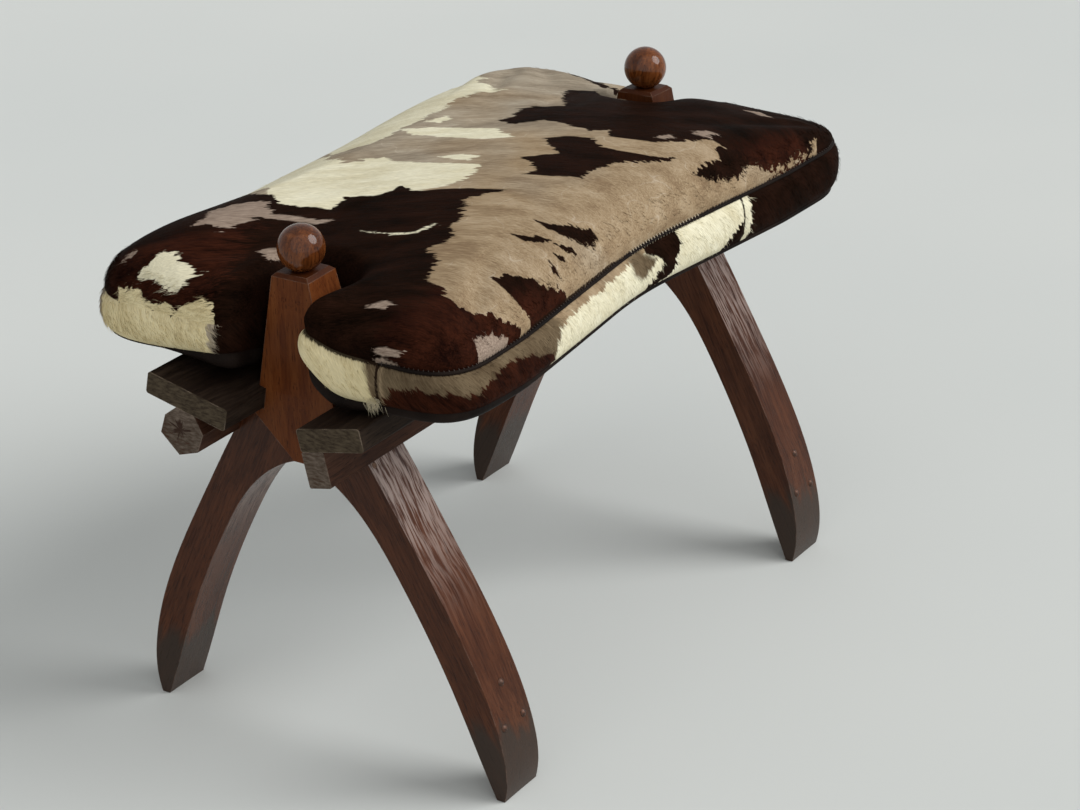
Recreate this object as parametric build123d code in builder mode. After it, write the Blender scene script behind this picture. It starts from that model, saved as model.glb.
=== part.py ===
from build123d import *
from math import atan2, cos, degrees, radians, sin
import os

# Millimetres. X runs along the seat, Y across it, Z up. The origin is on the floor, midway between the
# two end frames and in the plane of their posts. The front frame stands at -X, and the left side is +Y.

# End frames: each is a post and two legs in one leaning slab
frame_lean = 2.05
frame_thickness = 48.0
foot_reach = 186.5
shoulder_height = 334.5
shoulder_half_width = 37.6
flare_half_width = 50.0
flare_drop = 18.5
arch_drop = 60.5
arch_half_width = 8.0
post_rise = 104.5
post_top_width = 36.0
post_top_chamfer = 3.0

# Leg outlines, as shares of the foot's reach and of the shoulder's height, from the top down
leg_outer_shares = ((0.343, 0.885), (0.524, 0.717), (0.820, 0.418), (0.979, 0.179), (1.0, 0.045))
leg_inner_shares = ((0.154, 0.788), (0.300, 0.717), (0.482, 0.568), (0.738, 0.284), (0.867, 0.104))
sole_outer_share = 0.984
sole_inner_share = 0.944

# Ball finials with their tenons
ball_radius = 19.8
ball_rise = 18.4
tenon_radius = 5.0
tenon_length = 26.0
glue_clearance = 0.15

# Dowels that join each leg to its post
dowel_radius = 3.0
dowel_length = 30.0
dowel_half_spacing = 11.0
dowel_joint_share = 0.42

# Seat boards, which rise outwards from the posts
board_length = 676.0
board_overhang = 87.4
board_thickness = 20.0
board_tilt = 12.5
board_edge_radius = 2.5
left_board_width = 82.0
right_board_width = 64.0
left_board_start = 30.5
right_board_start = 39.0

# Rails under the boards: a hewn pole on the left and a sawn bar on the right
pole_centre = 41.5
pole_depth = 41.0
pole_half_width = 21.0
pole_corner_shares = (
    (-0.45, 1.0), (0.42, 1.0), (0.9, 0.45), (1.0, -0.4), (0.0, -1.0), (-0.85, -0.5), (-1.0, 0.35),
)
bar_width = 22.0
bar_height = 31.0
bar_edge_radius = 1.5

# Nails
nail_clearance = 0.1
nail_sink = 0.4
nail_cover = 5.0
nail_radius = 1.6
nail_head_radius = 3.6
nail_head_height = 1.2
nail_half_spacing = 12.0
shoulder_nail_place = 8.0
dome_radius = 3.7
dome_rise = 1.9
dome_shank_radius = 1.3
dome_shank_length = 22.0
dome_half_spacing = 14.0
upper_dome_height = 101.0
lower_dome_height = 67.0

# Pegs in the legs, just under the rails
pin_radius = 2.5
pin_length = 26.0
pin_offset = 17.8
pin_drop = 2.9

# Cushion: a stuffed hide case, notched round both posts
cushion_front_setback = 14.0
cushion_rear_overhang = 5.0
right_lobe_reach = 186.0
right_waist_draw = 21.0
left_lobe_reach = 194.0
left_waist_draw = 6.0
lobe_corner_radius = 52.0
lobe_tip_radius = 27.0
notch_end_gap = 9.0
notch_side_gap = 3.2
notch_corner_radius = 16.0
seat_clearance = 0.4
hide_thickness = 2.5
sewing_gap = 0.3
base_seam_rise = 1.0
band_height = 45.0
bulge_share = 0.47
shoulder_rises = (15.0, 29.0)
wall_top_rise = 64.0
wall_foot_drop = 25.0
wall_insets = (9.0, 4.5, 0.0, 3.0, 9.0, 18.0, 24.0)
crown_centre_rise = 53.0
crown_notch_rise = 44.0
crown_front_rise = 22.0
crown_rear_rise = 10.0
crown_side_drop = 16.0
front_band_right_end = 108.0
front_band_left_end = 96.0
rear_band_start = 146.0
overrun = 30.0

os.makedirs("parts", exist_ok=True)
lean = radians(frame_lean)
tilt = radians(board_tilt)
sides = {"left": 1, "right": -1}
board_width = {"left": left_board_width, "right": right_board_width}
board_start = {"left": left_board_start, "right": right_board_start}
lobe_reach = {"left": left_lobe_reach, "right": right_lobe_reach}
waist_draw = {"left": left_waist_draw, "right": right_waist_draw}

frame_half_spacing = board_length / 2 - board_overhang
flare_height = shoulder_height - flare_drop
arch_height = shoulder_height - arch_drop
post_height = shoulder_height + post_rise
ball_height = post_height + ball_rise
nail_length = board_thickness + bar_height - nail_cover
rail_depth = {"left": pole_depth + pole_half_width, "right": board_thickness + bar_height}
cushion_front_reach = board_length / 2 - cushion_front_setback
cushion_rear_reach = board_length / 2 + cushion_rear_overhang

# The front frame's own plane: across the seat, then up the leaning slab
frame_plane = Plane(
    origin=(-frame_half_spacing, 0, 0), x_dir=(0, 1, 0), z_dir=(cos(lean), 0, sin(lean))
)


def in_frame(across, height, outward=0.0):
    """A point of the front frame, from its place across, up and out of the slab's middle."""
    return frame_plane.from_local_coords(Vector(across, height, -outward))


def board_plane(side):
    """Across one board's top from its inner edge, with the local Y out of the board's top."""
    sign = sides[side]
    return Plane(
        origin=(0, sign * board_start[side], shoulder_height),
        x_dir=(0, sign * cos(tilt), sin(tilt)),
        z_dir=(sign, 0, 0),
    )


def on_board(side, along, across):
    """A location on a board's top face, with its Z out of the face."""
    plane = board_plane(side)
    spot = plane.from_local_coords(Vector(across, 0, sides[side] * along))
    return Location(Plane(origin=spot, x_dir=(1, 0, 0), z_dir=plane.y_dir))


def scaled(shares, sign=1):
    """Outline points from shares of the foot's reach and the shoulder's height."""
    return [(sign * foot_reach * across, shoulder_height * up) for across, up in shares]


def leg_outer_curve(sign):
    """The outer edge of one leg, from the flare under the shoulder down to the sole."""
    start = (sign * flare_half_width, flare_height)
    end = (sign * foot_reach * sole_outer_share, 0)
    return Spline([start, *scaled(leg_outer_shares, sign), end], mode=Mode.PRIVATE)


def outer_spot(sign, depth, wanted_depth, outward):
    """The point of a leg's outer face at a wanted depth, as depth() measures it, and the way out there."""
    curve = leg_outer_curve(sign)
    low, high = 0.0, 1.0
    for _ in range(40):
        middle = (low + high) / 2
        if depth(curve @ middle) < wanted_depth:
            low = middle
        else:
            high = middle
    spot, along = curve @ low, curve % low
    normal = Vector(-sign * along.Y, sign * along.X).normalized()
    point = in_frame(spot.X, spot.Y, outward)
    return point, in_frame(spot.X + normal.X, spot.Y + normal.Y, outward) - point


def below_shoulder(spot):
    """How far a point of the frame's plane lies below the shoulder."""
    return shoulder_height - spot.Y


def below_board_top(side):
    """Measures how far a point of the frame's plane lies below one board's top face."""
    plane = board_plane(side)
    return lambda spot: -plane.to_local_coords(Vector(0, spot.X, spot.Y)).Y


# Seat boards and rails, which every piece of a frame is notched for
boards, rails, seats = {}, {}, {}
for side in sides:
    with BuildPart() as board:
        with BuildSketch(board_plane(side)):
            blank = Rectangle(board_width[side], board_thickness, align=(Align.MIN, Align.MAX))
            fillet(blank.vertices(), board_edge_radius)
        extrude(amount=board_length / 2, both=True)
    boards[side] = board

with BuildPart() as pole:
    with BuildSketch(board_plane("left")):
        with Locations((pole_centre, -pole_depth)):
            Polygon([(pole_half_width * a, pole_half_width * b) for a, b in pole_corner_shares], align=None)
    extrude(amount=board_length / 2, both=True)
rails["left"] = pole

with BuildPart() as bar:
    with BuildSketch(board_plane("right")):
        with Locations((0, -board_thickness)):
            stick = Rectangle(bar_width, bar_height, align=(Align.MIN, Align.MAX))
        fillet(stick.vertices(), bar_edge_radius)
    extrude(amount=board_length / 2, both=True)
rails["right"] = bar

for side in sides:
    with BuildPart() as seat:
        with BuildSketch(board_plane(side)):
            Rectangle(board_width[side], board_thickness, align=(Align.MIN, Align.MAX))
            if side == "right":
                with Locations((0, -board_thickness)):
                    Rectangle(bar_width, bar_height, align=(Align.MIN, Align.MAX))
        extrude(amount=board_length / 2, both=True)
        if side == "left":
            add(pole.part)
    seats[side] = seat

# Dowels across each glued joint between a leg and its post
joint_run = Vector(flare_half_width - arch_half_width, flare_height - arch_height)
dowel_spots = []
for sign in sides.values():
    across = sign * (arch_half_width + joint_run.X * dowel_joint_share)
    height = arch_height + joint_run.Y * dowel_joint_share
    direction = in_frame(across + sign * joint_run.Y, height - joint_run.X) - in_frame(across, height)
    for outward in (-dowel_half_spacing, dowel_half_spacing):
        dowel_spots.append(Location(Plane(origin=in_frame(across, height, outward), z_dir=direction)))

with BuildPart() as leg_dowels:
    with Locations(*dowel_spots):
        Cylinder(dowel_radius, dowel_length)
    mirror(about=Plane.YZ)

with BuildPart() as dowel_holes:
    with Locations(*dowel_spots):
        Cylinder(dowel_radius + glue_clearance, dowel_length + 2 * glue_clearance)


def flat_nail(clearance):
    """A flat-headed nail, its head's top at the origin and its point down."""
    with BuildPart() as nail:
        with BuildSketch(Plane.XZ):
            with BuildLine():
                Polyline(
                    (0, clearance),
                    (nail_head_radius + clearance, clearance),
                    (nail_head_radius + clearance, -nail_head_height - clearance),
                    (nail_radius + clearance, -nail_head_height - clearance),
                    (nail_radius + clearance, nail_radius - nail_length),
                    (0, -nail_length - clearance),
                    close=True,
                )
            make_face()
        revolve(axis=Axis.Z)
    return nail.part


# Nails down through the boards: into the shoulder and the pole on the left, into the bar on the right
board_nail_spots = []
board_middle_height = board_plane("left").from_local_coords(Vector(pole_centre, 0)).Z
frame_middle = frame_half_spacing + board_middle_height * sin(lean)
for place in (shoulder_nail_place, pole_centre):
    board_nail_spots.append(on_board("left", -frame_middle, place))
for along in (-nail_half_spacing, nail_half_spacing):
    board_nail_spots.append(on_board("right", along - frame_middle, bar_width / 2))
board_nail_spots = [spot * Location((0, 0, -nail_sink)) for spot in board_nail_spots]

with BuildPart() as board_nails:
    with Locations(*board_nail_spots):
        add(flat_nail(0))
    mirror(about=Plane.YZ)

with BuildPart() as board_nail_holes:
    with Locations(*board_nail_spots):
        add(flat_nail(nail_clearance))
    with Locations(*[spot * Location((0, 0, nail_sink / 2)) for spot in board_nail_spots]):
        Cylinder(nail_head_radius + nail_clearance, nail_sink + nail_head_radius)
    mirror(about=Plane.YZ)

# A peg in each leg's outer face, driven square to it just below the rail
pin_spots = []
for side, sign in sides.items():
    spot, normal = outer_spot(sign, below_board_top(side), rail_depth[side] + pin_drop, pin_offset)
    pin_spots.append(Location(Plane(origin=spot, z_dir=-normal)))

with BuildPart() as leg_pins:
    with Locations(*pin_spots):
        Cylinder(pin_radius, pin_length, align=(Align.CENTER, Align.CENTER, Align.MIN))
    mirror(about=Plane.YZ)

with BuildPart() as pin_holes:
    with Locations(*pin_spots):
        Cylinder(pin_radius + glue_clearance, 2 * (pin_length + glue_clearance))

# Three domed nails on the outer face of each foot
dome_spots = []
for sign in sides.values():
    for height, outward in (
        (upper_dome_height, 0),
        (lower_dome_height, dome_half_spacing),
        (lower_dome_height, -dome_half_spacing),
    ):
        spot, normal = outer_spot(sign, below_shoulder, shoulder_height - height, outward)
        dome_spots.append(Location(Plane(origin=spot + normal * nail_clearance, z_dir=normal)))

with BuildPart() as dome_nail:
    with BuildSketch(Plane.XZ):
        with BuildLine():
            Polyline((dome_radius, 0), (dome_shank_radius, 0), (dome_shank_radius, -dome_shank_length))
            Polyline((dome_shank_radius, -dome_shank_length), (0, -dome_shank_length), (0, dome_rise))
            dome_bend = (dome_radius**2 + dome_rise**2) / (2 * dome_rise)
            RadiusArc((0, dome_rise), (dome_radius, 0), dome_bend)
        make_face()
    revolve(axis=Axis.Z)

with BuildPart() as foot_nails:
    with Locations(*dome_spots):
        add(dome_nail.part)
    mirror(about=Plane.YZ)

with BuildPart() as foot_nail_holes:
    with Locations(*dome_spots):
        Cylinder(dome_shank_radius + nail_clearance, 2 * (dome_shank_length + nail_clearance))

# Front post: flanks down to the shoulders, then a wedge between the two legs
with BuildPart() as front_post:
    with BuildSketch(frame_plane):
        with BuildLine():
            Polyline(
                (-arch_half_width, arch_height),
                (-flare_half_width, flare_height),
                (-shoulder_half_width, shoulder_height),
                (-post_top_width / 2, post_height),
                (post_top_width / 2, post_height),
                (shoulder_half_width, shoulder_height),
                (flare_half_width, flare_height),
                (arch_half_width, arch_height),
                close=True,
            )
        make_face()
    extrude(amount=frame_thickness / 2, both=True)
    with BuildSketch(Plane(origin=frame_plane.origin, x_dir=frame_plane.z_dir, z_dir=(0, -1, 0))):
        with BuildLine():
            Polyline(
                (-frame_thickness / 2, 0),
                (-frame_thickness / 2, shoulder_height),
                (-post_top_width / 2, post_height),
                (post_top_width / 2, post_height),
                (frame_thickness / 2, shoulder_height),
                (frame_thickness / 2, 0),
                close=True,
            )
        make_face()
    extrude(amount=flare_half_width, both=True, mode=Mode.INTERSECT)
    top = front_post.faces().sort_by(Axis.Z)[-1]
    chamfer(top.edges(), post_top_chamfer)
    with Locations(Location(Plane(origin=in_frame(0, post_height), z_dir=frame_plane.y_dir))):
        Cylinder(tenon_radius + glue_clearance, 2 * (tenon_length + glue_clearance), mode=Mode.SUBTRACT)
    for cutter in (seats["left"], seats["right"], dowel_holes, board_nail_holes):
        add(cutter.part, mode=Mode.SUBTRACT)

# Front finial: a ball with a flat foot and a tenon, turned about the post's axis
ball_foot_radius = (ball_radius**2 - (ball_height - post_height) ** 2) ** 0.5
with BuildPart() as front_finial:
    with BuildSketch(frame_plane):
        with BuildLine():
            Line((0, ball_height + ball_radius), (0, post_height - tenon_length))
            Line((0, post_height - tenon_length), (tenon_radius, post_height - tenon_length))
            Line((tenon_radius, post_height - tenon_length), (tenon_radius, post_height))
            Line((tenon_radius, post_height), (ball_foot_radius, post_height))
            ThreePointArc(
                (ball_foot_radius, post_height),
                (ball_radius, ball_height),
                (0, ball_height + ball_radius),
            )
        make_face()
    revolve(axis=Axis(in_frame(0, 0), frame_plane.y_dir))

# Front legs: the sabre curve from the joint with the post down to a sole, which is cut level with the floor
sole_width = foot_reach * (sole_outer_share - sole_inner_share)
front_legs = {}
for side, sign in sides.items():
    with BuildPart() as leg:
        with BuildSketch(frame_plane):
            with BuildLine():
                add(leg_outer_curve(sign))
                inner_points = [(sign * arch_half_width, arch_height), *scaled(leg_inner_shares, sign)]
                inner_end = (sign * foot_reach * sole_inner_share, 0)
                outer_end = (sign * foot_reach * sole_outer_share, 0)
                Spline([*inner_points, inner_end])
                Polyline(inner_end, (inner_end[0], -sole_width), (outer_end[0], -sole_width), outer_end)
                Line((sign * arch_half_width, arch_height), (sign * flare_half_width, flare_height))
            make_face()
        extrude(amount=frame_thickness / 2, both=True)
        split(bisect_by=Plane.XY, keep=Keep.TOP)
        add(seats[side].part, mode=Mode.SUBTRACT)
        for cutter in (dowel_holes, board_nail_holes, pin_holes, foot_nail_holes):
            add(cutter.part, mode=Mode.SUBTRACT)
    front_legs[side] = leg

for side in sides:
    with BuildPart() as drilled_board:
        add(boards[side].part)
        add(board_nail_holes.part, mode=Mode.SUBTRACT)
    boards[side] = drilled_board
    with BuildPart() as drilled_rail:
        add(rails[side].part)
        add(board_nail_holes.part, mode=Mode.SUBTRACT)
    rails[side] = drilled_rail


def underside_points(clearance):
    """The underside across the seat: along both board tops, and level beyond and between them."""
    edges = {}
    for side in sides:
        plane = board_plane(side)
        edges[side] = [
            plane.from_local_coords(Vector(across, clearance)) for across in (board_width[side], 0)
        ]
    rim = max(outer.Z for outer, _ in edges.values())
    points = []
    for side, sign in sides.items():
        run = [(sign * widest, rim), *((spot.Y, spot.Z) for spot in edges[side])]
        points = points + run[::-1] if side == "right" else run + points
    return points


# Heights of the cushion's seams, swell and shoulders, from the rim of its underside up
widest = max(left_lobe_reach, right_lobe_reach) + overrun
rim_height = underside_points(seat_clearance)[0][1]
base_seam_height = rim_height + base_seam_rise
edge_seam_height = base_seam_height + band_height
bulge_height = base_seam_height + bulge_share * band_height
wall_top_height = edge_seam_height + wall_top_rise
shoulder_heights = [edge_seam_height + rise for rise in shoulder_rises]
wall_heights = [
    base_seam_height - wall_foot_drop, base_seam_height, bulge_height, edge_seam_height,
    *shoulder_heights, wall_top_height,
]

# The notches, from the post's flanks and inner face at the height of the swell
taper = (post_height - bulge_height) / post_rise
post_flank = post_top_width / 2 + taper * (shoulder_half_width - post_top_width / 2)
post_half_depth = post_top_width / 2 + taper * (frame_thickness - post_top_width) / 2
notch_half_width = post_flank + notch_side_gap
notch_end = -in_frame(0, bulge_height, -post_half_depth).X - notch_end_gap


def cushion_outline(inset):
    """Draws the cushion's plan, drawn in by an inset, round its lobes, waists and post notches."""
    front, rear = inset - cushion_front_reach, cushion_rear_reach - inset
    notch_front, notch_rear = inset - notch_end, notch_end - inset
    half = notch_half_width + inset
    corner, tip = lobe_corner_radius - inset, lobe_tip_radius - inset
    hook = notch_corner_radius + inset
    span = (rear - front) / 2 - corner
    middle = (front + rear) / 2
    for side, sign in sides.items():
        reach, draw = lobe_reach[side] - inset, waist_draw[side]
        ring = (span**2 + draw**2) / (2 * draw)
        turn = degrees(atan2(span, ring - draw))
        Line((front, sign * (half + tip)), (front, sign * (reach - corner)))
        CenterArc((front + corner, sign * (reach - corner)), corner, 180, -sign * (90 + turn))
        CenterArc((rear - corner, sign * (reach - corner)), corner, 0, sign * (90 + turn))
        bend = ring - corner
        CenterArc((middle, sign * (reach - draw + bend)), bend, sign * (-90 - turn), sign * 2 * turn)
        Line((rear, sign * (half + tip)), (rear, sign * (reach - corner)))
        CenterArc((front + tip, sign * (half + tip)), tip, 180, sign * 90)
        CenterArc((rear - tip, sign * (half + tip)), tip, 0, -sign * 90)
        Line((front + tip, sign * half), (notch_front - hook, sign * half))
        Line((rear - tip, sign * half), (notch_rear + hook, sign * half))
        CenterArc((notch_front - hook, sign * (half - hook)), hook, sign * 90, -sign * 90)
        CenterArc((notch_rear + hook, sign * (half - hook)), hook, sign * 90, sign * 90)
    Line((notch_front, hook - half), (notch_front, half - hook))
    Line((notch_rear, hook - half), (notch_rear, half - hook))


def crown_section(along, middle_height):
    """One slice of the crown, an arc across the seat over a tall block."""
    with BuildSketch(Plane.YZ.offset(along)) as section:
        with BuildLine():
            side_height = middle_height - crown_side_drop
            ThreePointArc((-widest, side_height), (0, middle_height), (widest, side_height))
            Polyline((widest, side_height), (widest, 0), (-widest, 0), (-widest, side_height))
        make_face()
    return section.sketch


def cushion_solid(inset):
    """The cushion's form, drawn in on every side by an inset."""
    with BuildPart() as form:
        for height, wall_inset in zip(wall_heights, wall_insets):
            with BuildSketch(Plane.XY.offset(height)):
                with BuildLine():
                    cushion_outline(wall_inset + inset)
                make_face()
        loft()
    crown_front, crown_rear = -cushion_front_reach - overrun, cushion_rear_reach + overrun
    with BuildPart() as crown:
        for along, rise in (
            (crown_front, crown_front_rise),
            (-notch_end, crown_notch_rise),
            (0, crown_centre_rise),
            (notch_end, crown_notch_rise),
            (crown_rear, crown_rear_rise),
        ):
            add(crown_section(along, edge_seam_height + rise - inset))
        loft()
    with BuildPart() as room:
        with BuildSketch(Plane.YZ):
            with BuildLine():
                points = underside_points(seat_clearance + inset)
                Polyline(*points, (-widest, wall_top_height), (widest, wall_top_height), close=True)
            make_face()
        extrude(amount=board_length, both=True)
    with BuildPart() as cushion:
        add(form.part)
        add(crown.part, mode=Mode.INTERSECT)
        add(room.part, mode=Mode.INTERSECT)
    return cushion


outer_form = cushion_solid(0)
inner_form = cushion_solid(hide_thickness)
cushion_filling = cushion_solid(hide_thickness + sewing_gap)

with BuildPart() as case:
    add(outer_form.part)
    add(inner_form.part, mode=Mode.SUBTRACT)

# Blocks that part the case at its seams, each by a sewing gap
seam = sewing_gap / 2
length = board_length
case_blocks = {
    "cushion_top_hide": ((-length, -length, edge_seam_height + seam), (length, length, wall_top_height)),
    "cushion_base": ((-length, -length, 0), (length, length, base_seam_height - seam)),
    "cushion_front_band": (
        (-length, -front_band_right_end + seam, base_seam_height + seam),
        (-notch_end + overrun, front_band_left_end - seam, edge_seam_height - seam),
    ),
    "cushion_rear_band": (
        (rear_band_start + seam, -length, base_seam_height + seam),
        (length, length, edge_seam_height - seam),
    ),
    "cushion_right_band": (
        (-length, -length, base_seam_height + seam),
        (rear_band_start - seam, 0, edge_seam_height - seam),
    ),
    "cushion_left_band": (
        (-length, 0, base_seam_height + seam),
        (rear_band_start - seam, length, edge_seam_height - seam),
    ),
}
case_pieces = {}
for name, (low, high) in case_blocks.items():
    with BuildPart() as piece:
        size = Vector(*high) - Vector(*low)
        with Locations(low):
            Box(size.X, size.Y, size.Z, align=(Align.MIN, Align.MIN, Align.MIN))
        add(case.part, mode=Mode.INTERSECT)
        if name in ("cushion_right_band", "cushion_left_band"):
            taken_low, taken_high = case_blocks["cushion_front_band"]
            taken = Vector(*taken_high) - Vector(*taken_low)
            with Locations((taken_low[0], taken_low[1] - sewing_gap, taken_low[2] - sewing_gap)):
                Box(
                    taken.X, taken.Y + 2 * sewing_gap, taken.Z + 2 * sewing_gap,
                    align=(Align.MIN, Align.MIN, Align.MIN), mode=Mode.SUBTRACT,
                )
    case_pieces[name] = piece

rear_post, rear_finial = BuildPart(), BuildPart()
with rear_post:
    mirror(front_post.part, about=Plane.YZ)
with rear_finial:
    mirror(front_finial.part, about=Plane.YZ)
rear_legs = {}
for side in sides:
    with BuildPart() as rear_leg:
        mirror(front_legs[side].part, about=Plane.YZ)
    rear_legs[side] = rear_leg

pieces = {
    "front_post": front_post,
    "rear_post": rear_post,
    "front_finial": front_finial,
    "rear_finial": rear_finial,
    "leg_dowels": leg_dowels,
    "board_nails": board_nails,
    "leg_pins": leg_pins,
    "foot_nails": foot_nails,
    "cushion_filling": cushion_filling,
    **case_pieces,
}
for side in sides:
    pieces[f"front_{side}_leg"] = front_legs[side]
    pieces[f"rear_{side}_leg"] = rear_legs[side]
    pieces[f"{side}_board"] = boards[side]
    pieces[f"{side}_rail"] = rails[side]

for name, piece in pieces.items():
    piece.part.label = name
    export_step(piece.part, f"parts/{name}.step")
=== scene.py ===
import math

import bmesh
import bpy
import numpy as np
from mathutils import Matrix, Vector
from mathutils.bvhtree import BVHTree
from mathutils.geometry import delaunay_2d_cdt


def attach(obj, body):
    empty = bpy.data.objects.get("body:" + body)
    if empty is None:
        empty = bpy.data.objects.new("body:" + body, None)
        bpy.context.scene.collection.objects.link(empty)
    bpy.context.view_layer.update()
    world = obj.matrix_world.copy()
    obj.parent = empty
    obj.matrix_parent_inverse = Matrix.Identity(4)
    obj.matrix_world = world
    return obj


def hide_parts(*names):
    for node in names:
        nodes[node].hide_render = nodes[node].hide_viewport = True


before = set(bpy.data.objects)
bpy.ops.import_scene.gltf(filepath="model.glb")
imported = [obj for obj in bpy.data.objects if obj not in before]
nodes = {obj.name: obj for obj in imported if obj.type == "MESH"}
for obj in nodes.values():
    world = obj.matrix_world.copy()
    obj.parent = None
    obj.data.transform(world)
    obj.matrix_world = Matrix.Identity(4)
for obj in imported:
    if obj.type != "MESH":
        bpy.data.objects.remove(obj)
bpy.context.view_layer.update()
scene = bpy.context.scene
MM = 0.001

# Camera: fitted to the photograph, with its focal length in pixels of the 1080 pixel wide frame
CAMERA_PLACE_MM = (-1958.7, -1349.0, 1286.1)
CAMERA_AZIMUTH = -56.40
CAMERA_ELEVATION = 24.30
CAMERA_ROLL = -1.65
FOCAL_PIXELS = 2881.7
FRAME_WIDTH_PIXELS = 1080
FRAME_HEIGHT_PIXELS = 810
SENSOR_MM = 36.0
CAMERA_REACH_M = 50


def add_camera():
    turn, rise, roll = (math.radians(a) for a in (CAMERA_AZIMUTH, CAMERA_ELEVATION, CAMERA_ROLL))
    back = Vector((
        math.sin(turn) * math.cos(rise), -math.cos(turn) * math.cos(rise), math.sin(rise)
    ))
    level = Vector((0, 0, 1)).cross(back).normalized()
    up = back.cross(level)
    right = level * math.cos(roll) + up * math.sin(roll)
    up = up * math.cos(roll) - level * math.sin(roll)
    data = bpy.data.cameras.new("camera")
    data.sensor_width = SENSOR_MM
    data.lens = FOCAL_PIXELS / FRAME_WIDTH_PIXELS * SENSOR_MM
    data.clip_end = CAMERA_REACH_M
    camera = bpy.data.objects.new("camera", data)
    camera.matrix_world = Matrix((
        (right.x, up.x, back.x, CAMERA_PLACE_MM[0] * MM),
        (right.y, up.y, back.y, CAMERA_PLACE_MM[1] * MM),
        (right.z, up.z, back.z, CAMERA_PLACE_MM[2] * MM),
        (0, 0, 0, 1),
    ))
    scene.collection.objects.link(camera)
    scene.camera = camera
    return right, up, back


# Node helpers
class Shader:
    """A material's node tree, with short methods for the nodes that are used here."""

    def __init__(self, name):
        self.material = bpy.data.materials.new(name)
        self.material.use_nodes = True
        self.tree = self.material.node_tree
        self.bsdf = self.tree.nodes["Principled BSDF"]

    def node(self, kind, **settings):
        made = self.tree.nodes.new(kind)
        for key, value in settings.items():
            setattr(made, key, value)
        return made

    def link(self, source, target):
        if isinstance(source, bpy.types.NodeSocket):
            self.tree.links.new(source, target)
        else:
            target.default_value = source

    def math(self, operation, *values):
        made = self.node("ShaderNodeMath", operation=operation)
        for value, socket in zip(values, made.inputs):
            self.link(value, socket)
        return made.outputs[0]

    def times(self, first, second):
        return self.math("MULTIPLY", first, second)

    def plus(self, first, second):
        return self.math("ADD", first, second)

    def minus(self, first, second):
        return self.math("SUBTRACT", first, second)

    def total(self, *parts):
        """The sum of several numbers, each times its weight."""
        result = self.times(*parts[0])
        for part in parts[1:]:
            result = self.plus(result, self.times(*part))
        return result

    def vector(self, operation, *values):
        made = self.node("ShaderNodeVectorMath", operation=operation)
        for value, socket in zip(values, made.inputs):
            self.link(value, socket)
        return made.outputs["Value" if operation in ("LENGTH", "DOT_PRODUCT") else "Vector"]

    def combine(self, x, y, z):
        made = self.node("ShaderNodeCombineXYZ")
        for value, socket in zip((x, y, z), made.inputs):
            self.link(value, socket)
        return made.outputs[0]

    def separate(self, vector):
        made = self.node("ShaderNodeSeparateXYZ")
        self.link(vector, made.inputs[0])
        return made.outputs

    def place(self):
        return self.node("ShaderNodeTexCoord").outputs["Object"]

    def attribute(self, name):
        """The three numbers of a mesh attribute."""
        return self.separate(self.node("ShaderNodeAttribute", attribute_name=name).outputs["Vector"])

    def noise(self, vector, scale=1.0, detail=2.0, roughness=0.5):
        """scale is the number of spots to one unit of the vector."""
        made = self.node("ShaderNodeTexNoise")
        self.link(vector, made.inputs["Vector"])
        made.inputs["Scale"].default_value = scale
        made.inputs["Detail"].default_value = detail
        made.inputs["Roughness"].default_value = roughness
        return made.outputs["Fac"]

    def ramp(self, value, places, tones):
        made = self.node("ShaderNodeValToRGB")
        self.link(value, made.inputs[0])
        elements = made.color_ramp.elements
        while len(elements) < len(places):
            elements.new(0.5)
        for element, place, tone in zip(elements, places, tones):
            element.position = place
            element.color = (*tone, 1)
        return made.outputs[0]

    def range(self, value, low, high, to_low=0.0, to_high=1.0, smooth=False):
        made = self.node("ShaderNodeMapRange")
        made.interpolation_type = "SMOOTHSTEP" if smooth else "LINEAR"
        for socket, number in zip(made.inputs, (value, low, high, to_low, to_high)):
            self.link(number, socket)
        return made.outputs[0]

    def mix(self, factor, first, second, blend="MIX"):
        made = self.node("ShaderNodeMix", data_type="RGBA", blend_type=blend)
        self.link(factor, made.inputs["Factor"])
        sockets = [socket for socket in made.inputs if socket.type == "RGBA"]
        for value, socket in zip((first, second), sockets):
            self.link((*value, 1) if isinstance(value, tuple) else value, socket)
        return next(socket for socket in made.outputs if socket.type == "RGBA")

    def shaded(self, colour, shade):
        """A colour made darker or lighter by a number."""
        return self.mix(1.0, colour, self.combine(shade, shade, shade), blend="MULTIPLY")

    def bump(self, height, strength, distance_mm, normal=None):
        made = self.node("ShaderNodeBump")
        made.inputs["Strength"].default_value = strength
        made.inputs["Distance"].default_value = distance_mm * MM
        self.link(height, made.inputs["Height"])
        if normal:
            self.link(normal, made.inputs["Normal"])
        return made.outputs[0]

    def finish(self, colour, roughness, normal=None, **constants):
        self.link((*colour, 1) if isinstance(colour, tuple) else colour, self.bsdf.inputs["Base Color"])
        self.link(roughness, self.bsdf.inputs["Roughness"])
        if normal:
            self.link(normal, self.bsdf.inputs["Normal"])
        for name, value in constants.items():
            self.bsdf.inputs[name.replace("_", " ")].default_value = value
        return self.material


# Most of a noise's values lie between these two
NOISE_REACH = (0.3, 0.7)


def dress(name, material):
    """Gives one CAD node its material."""
    nodes[name].data.materials.clear()
    nodes[name].data.materials.append(material)


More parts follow.
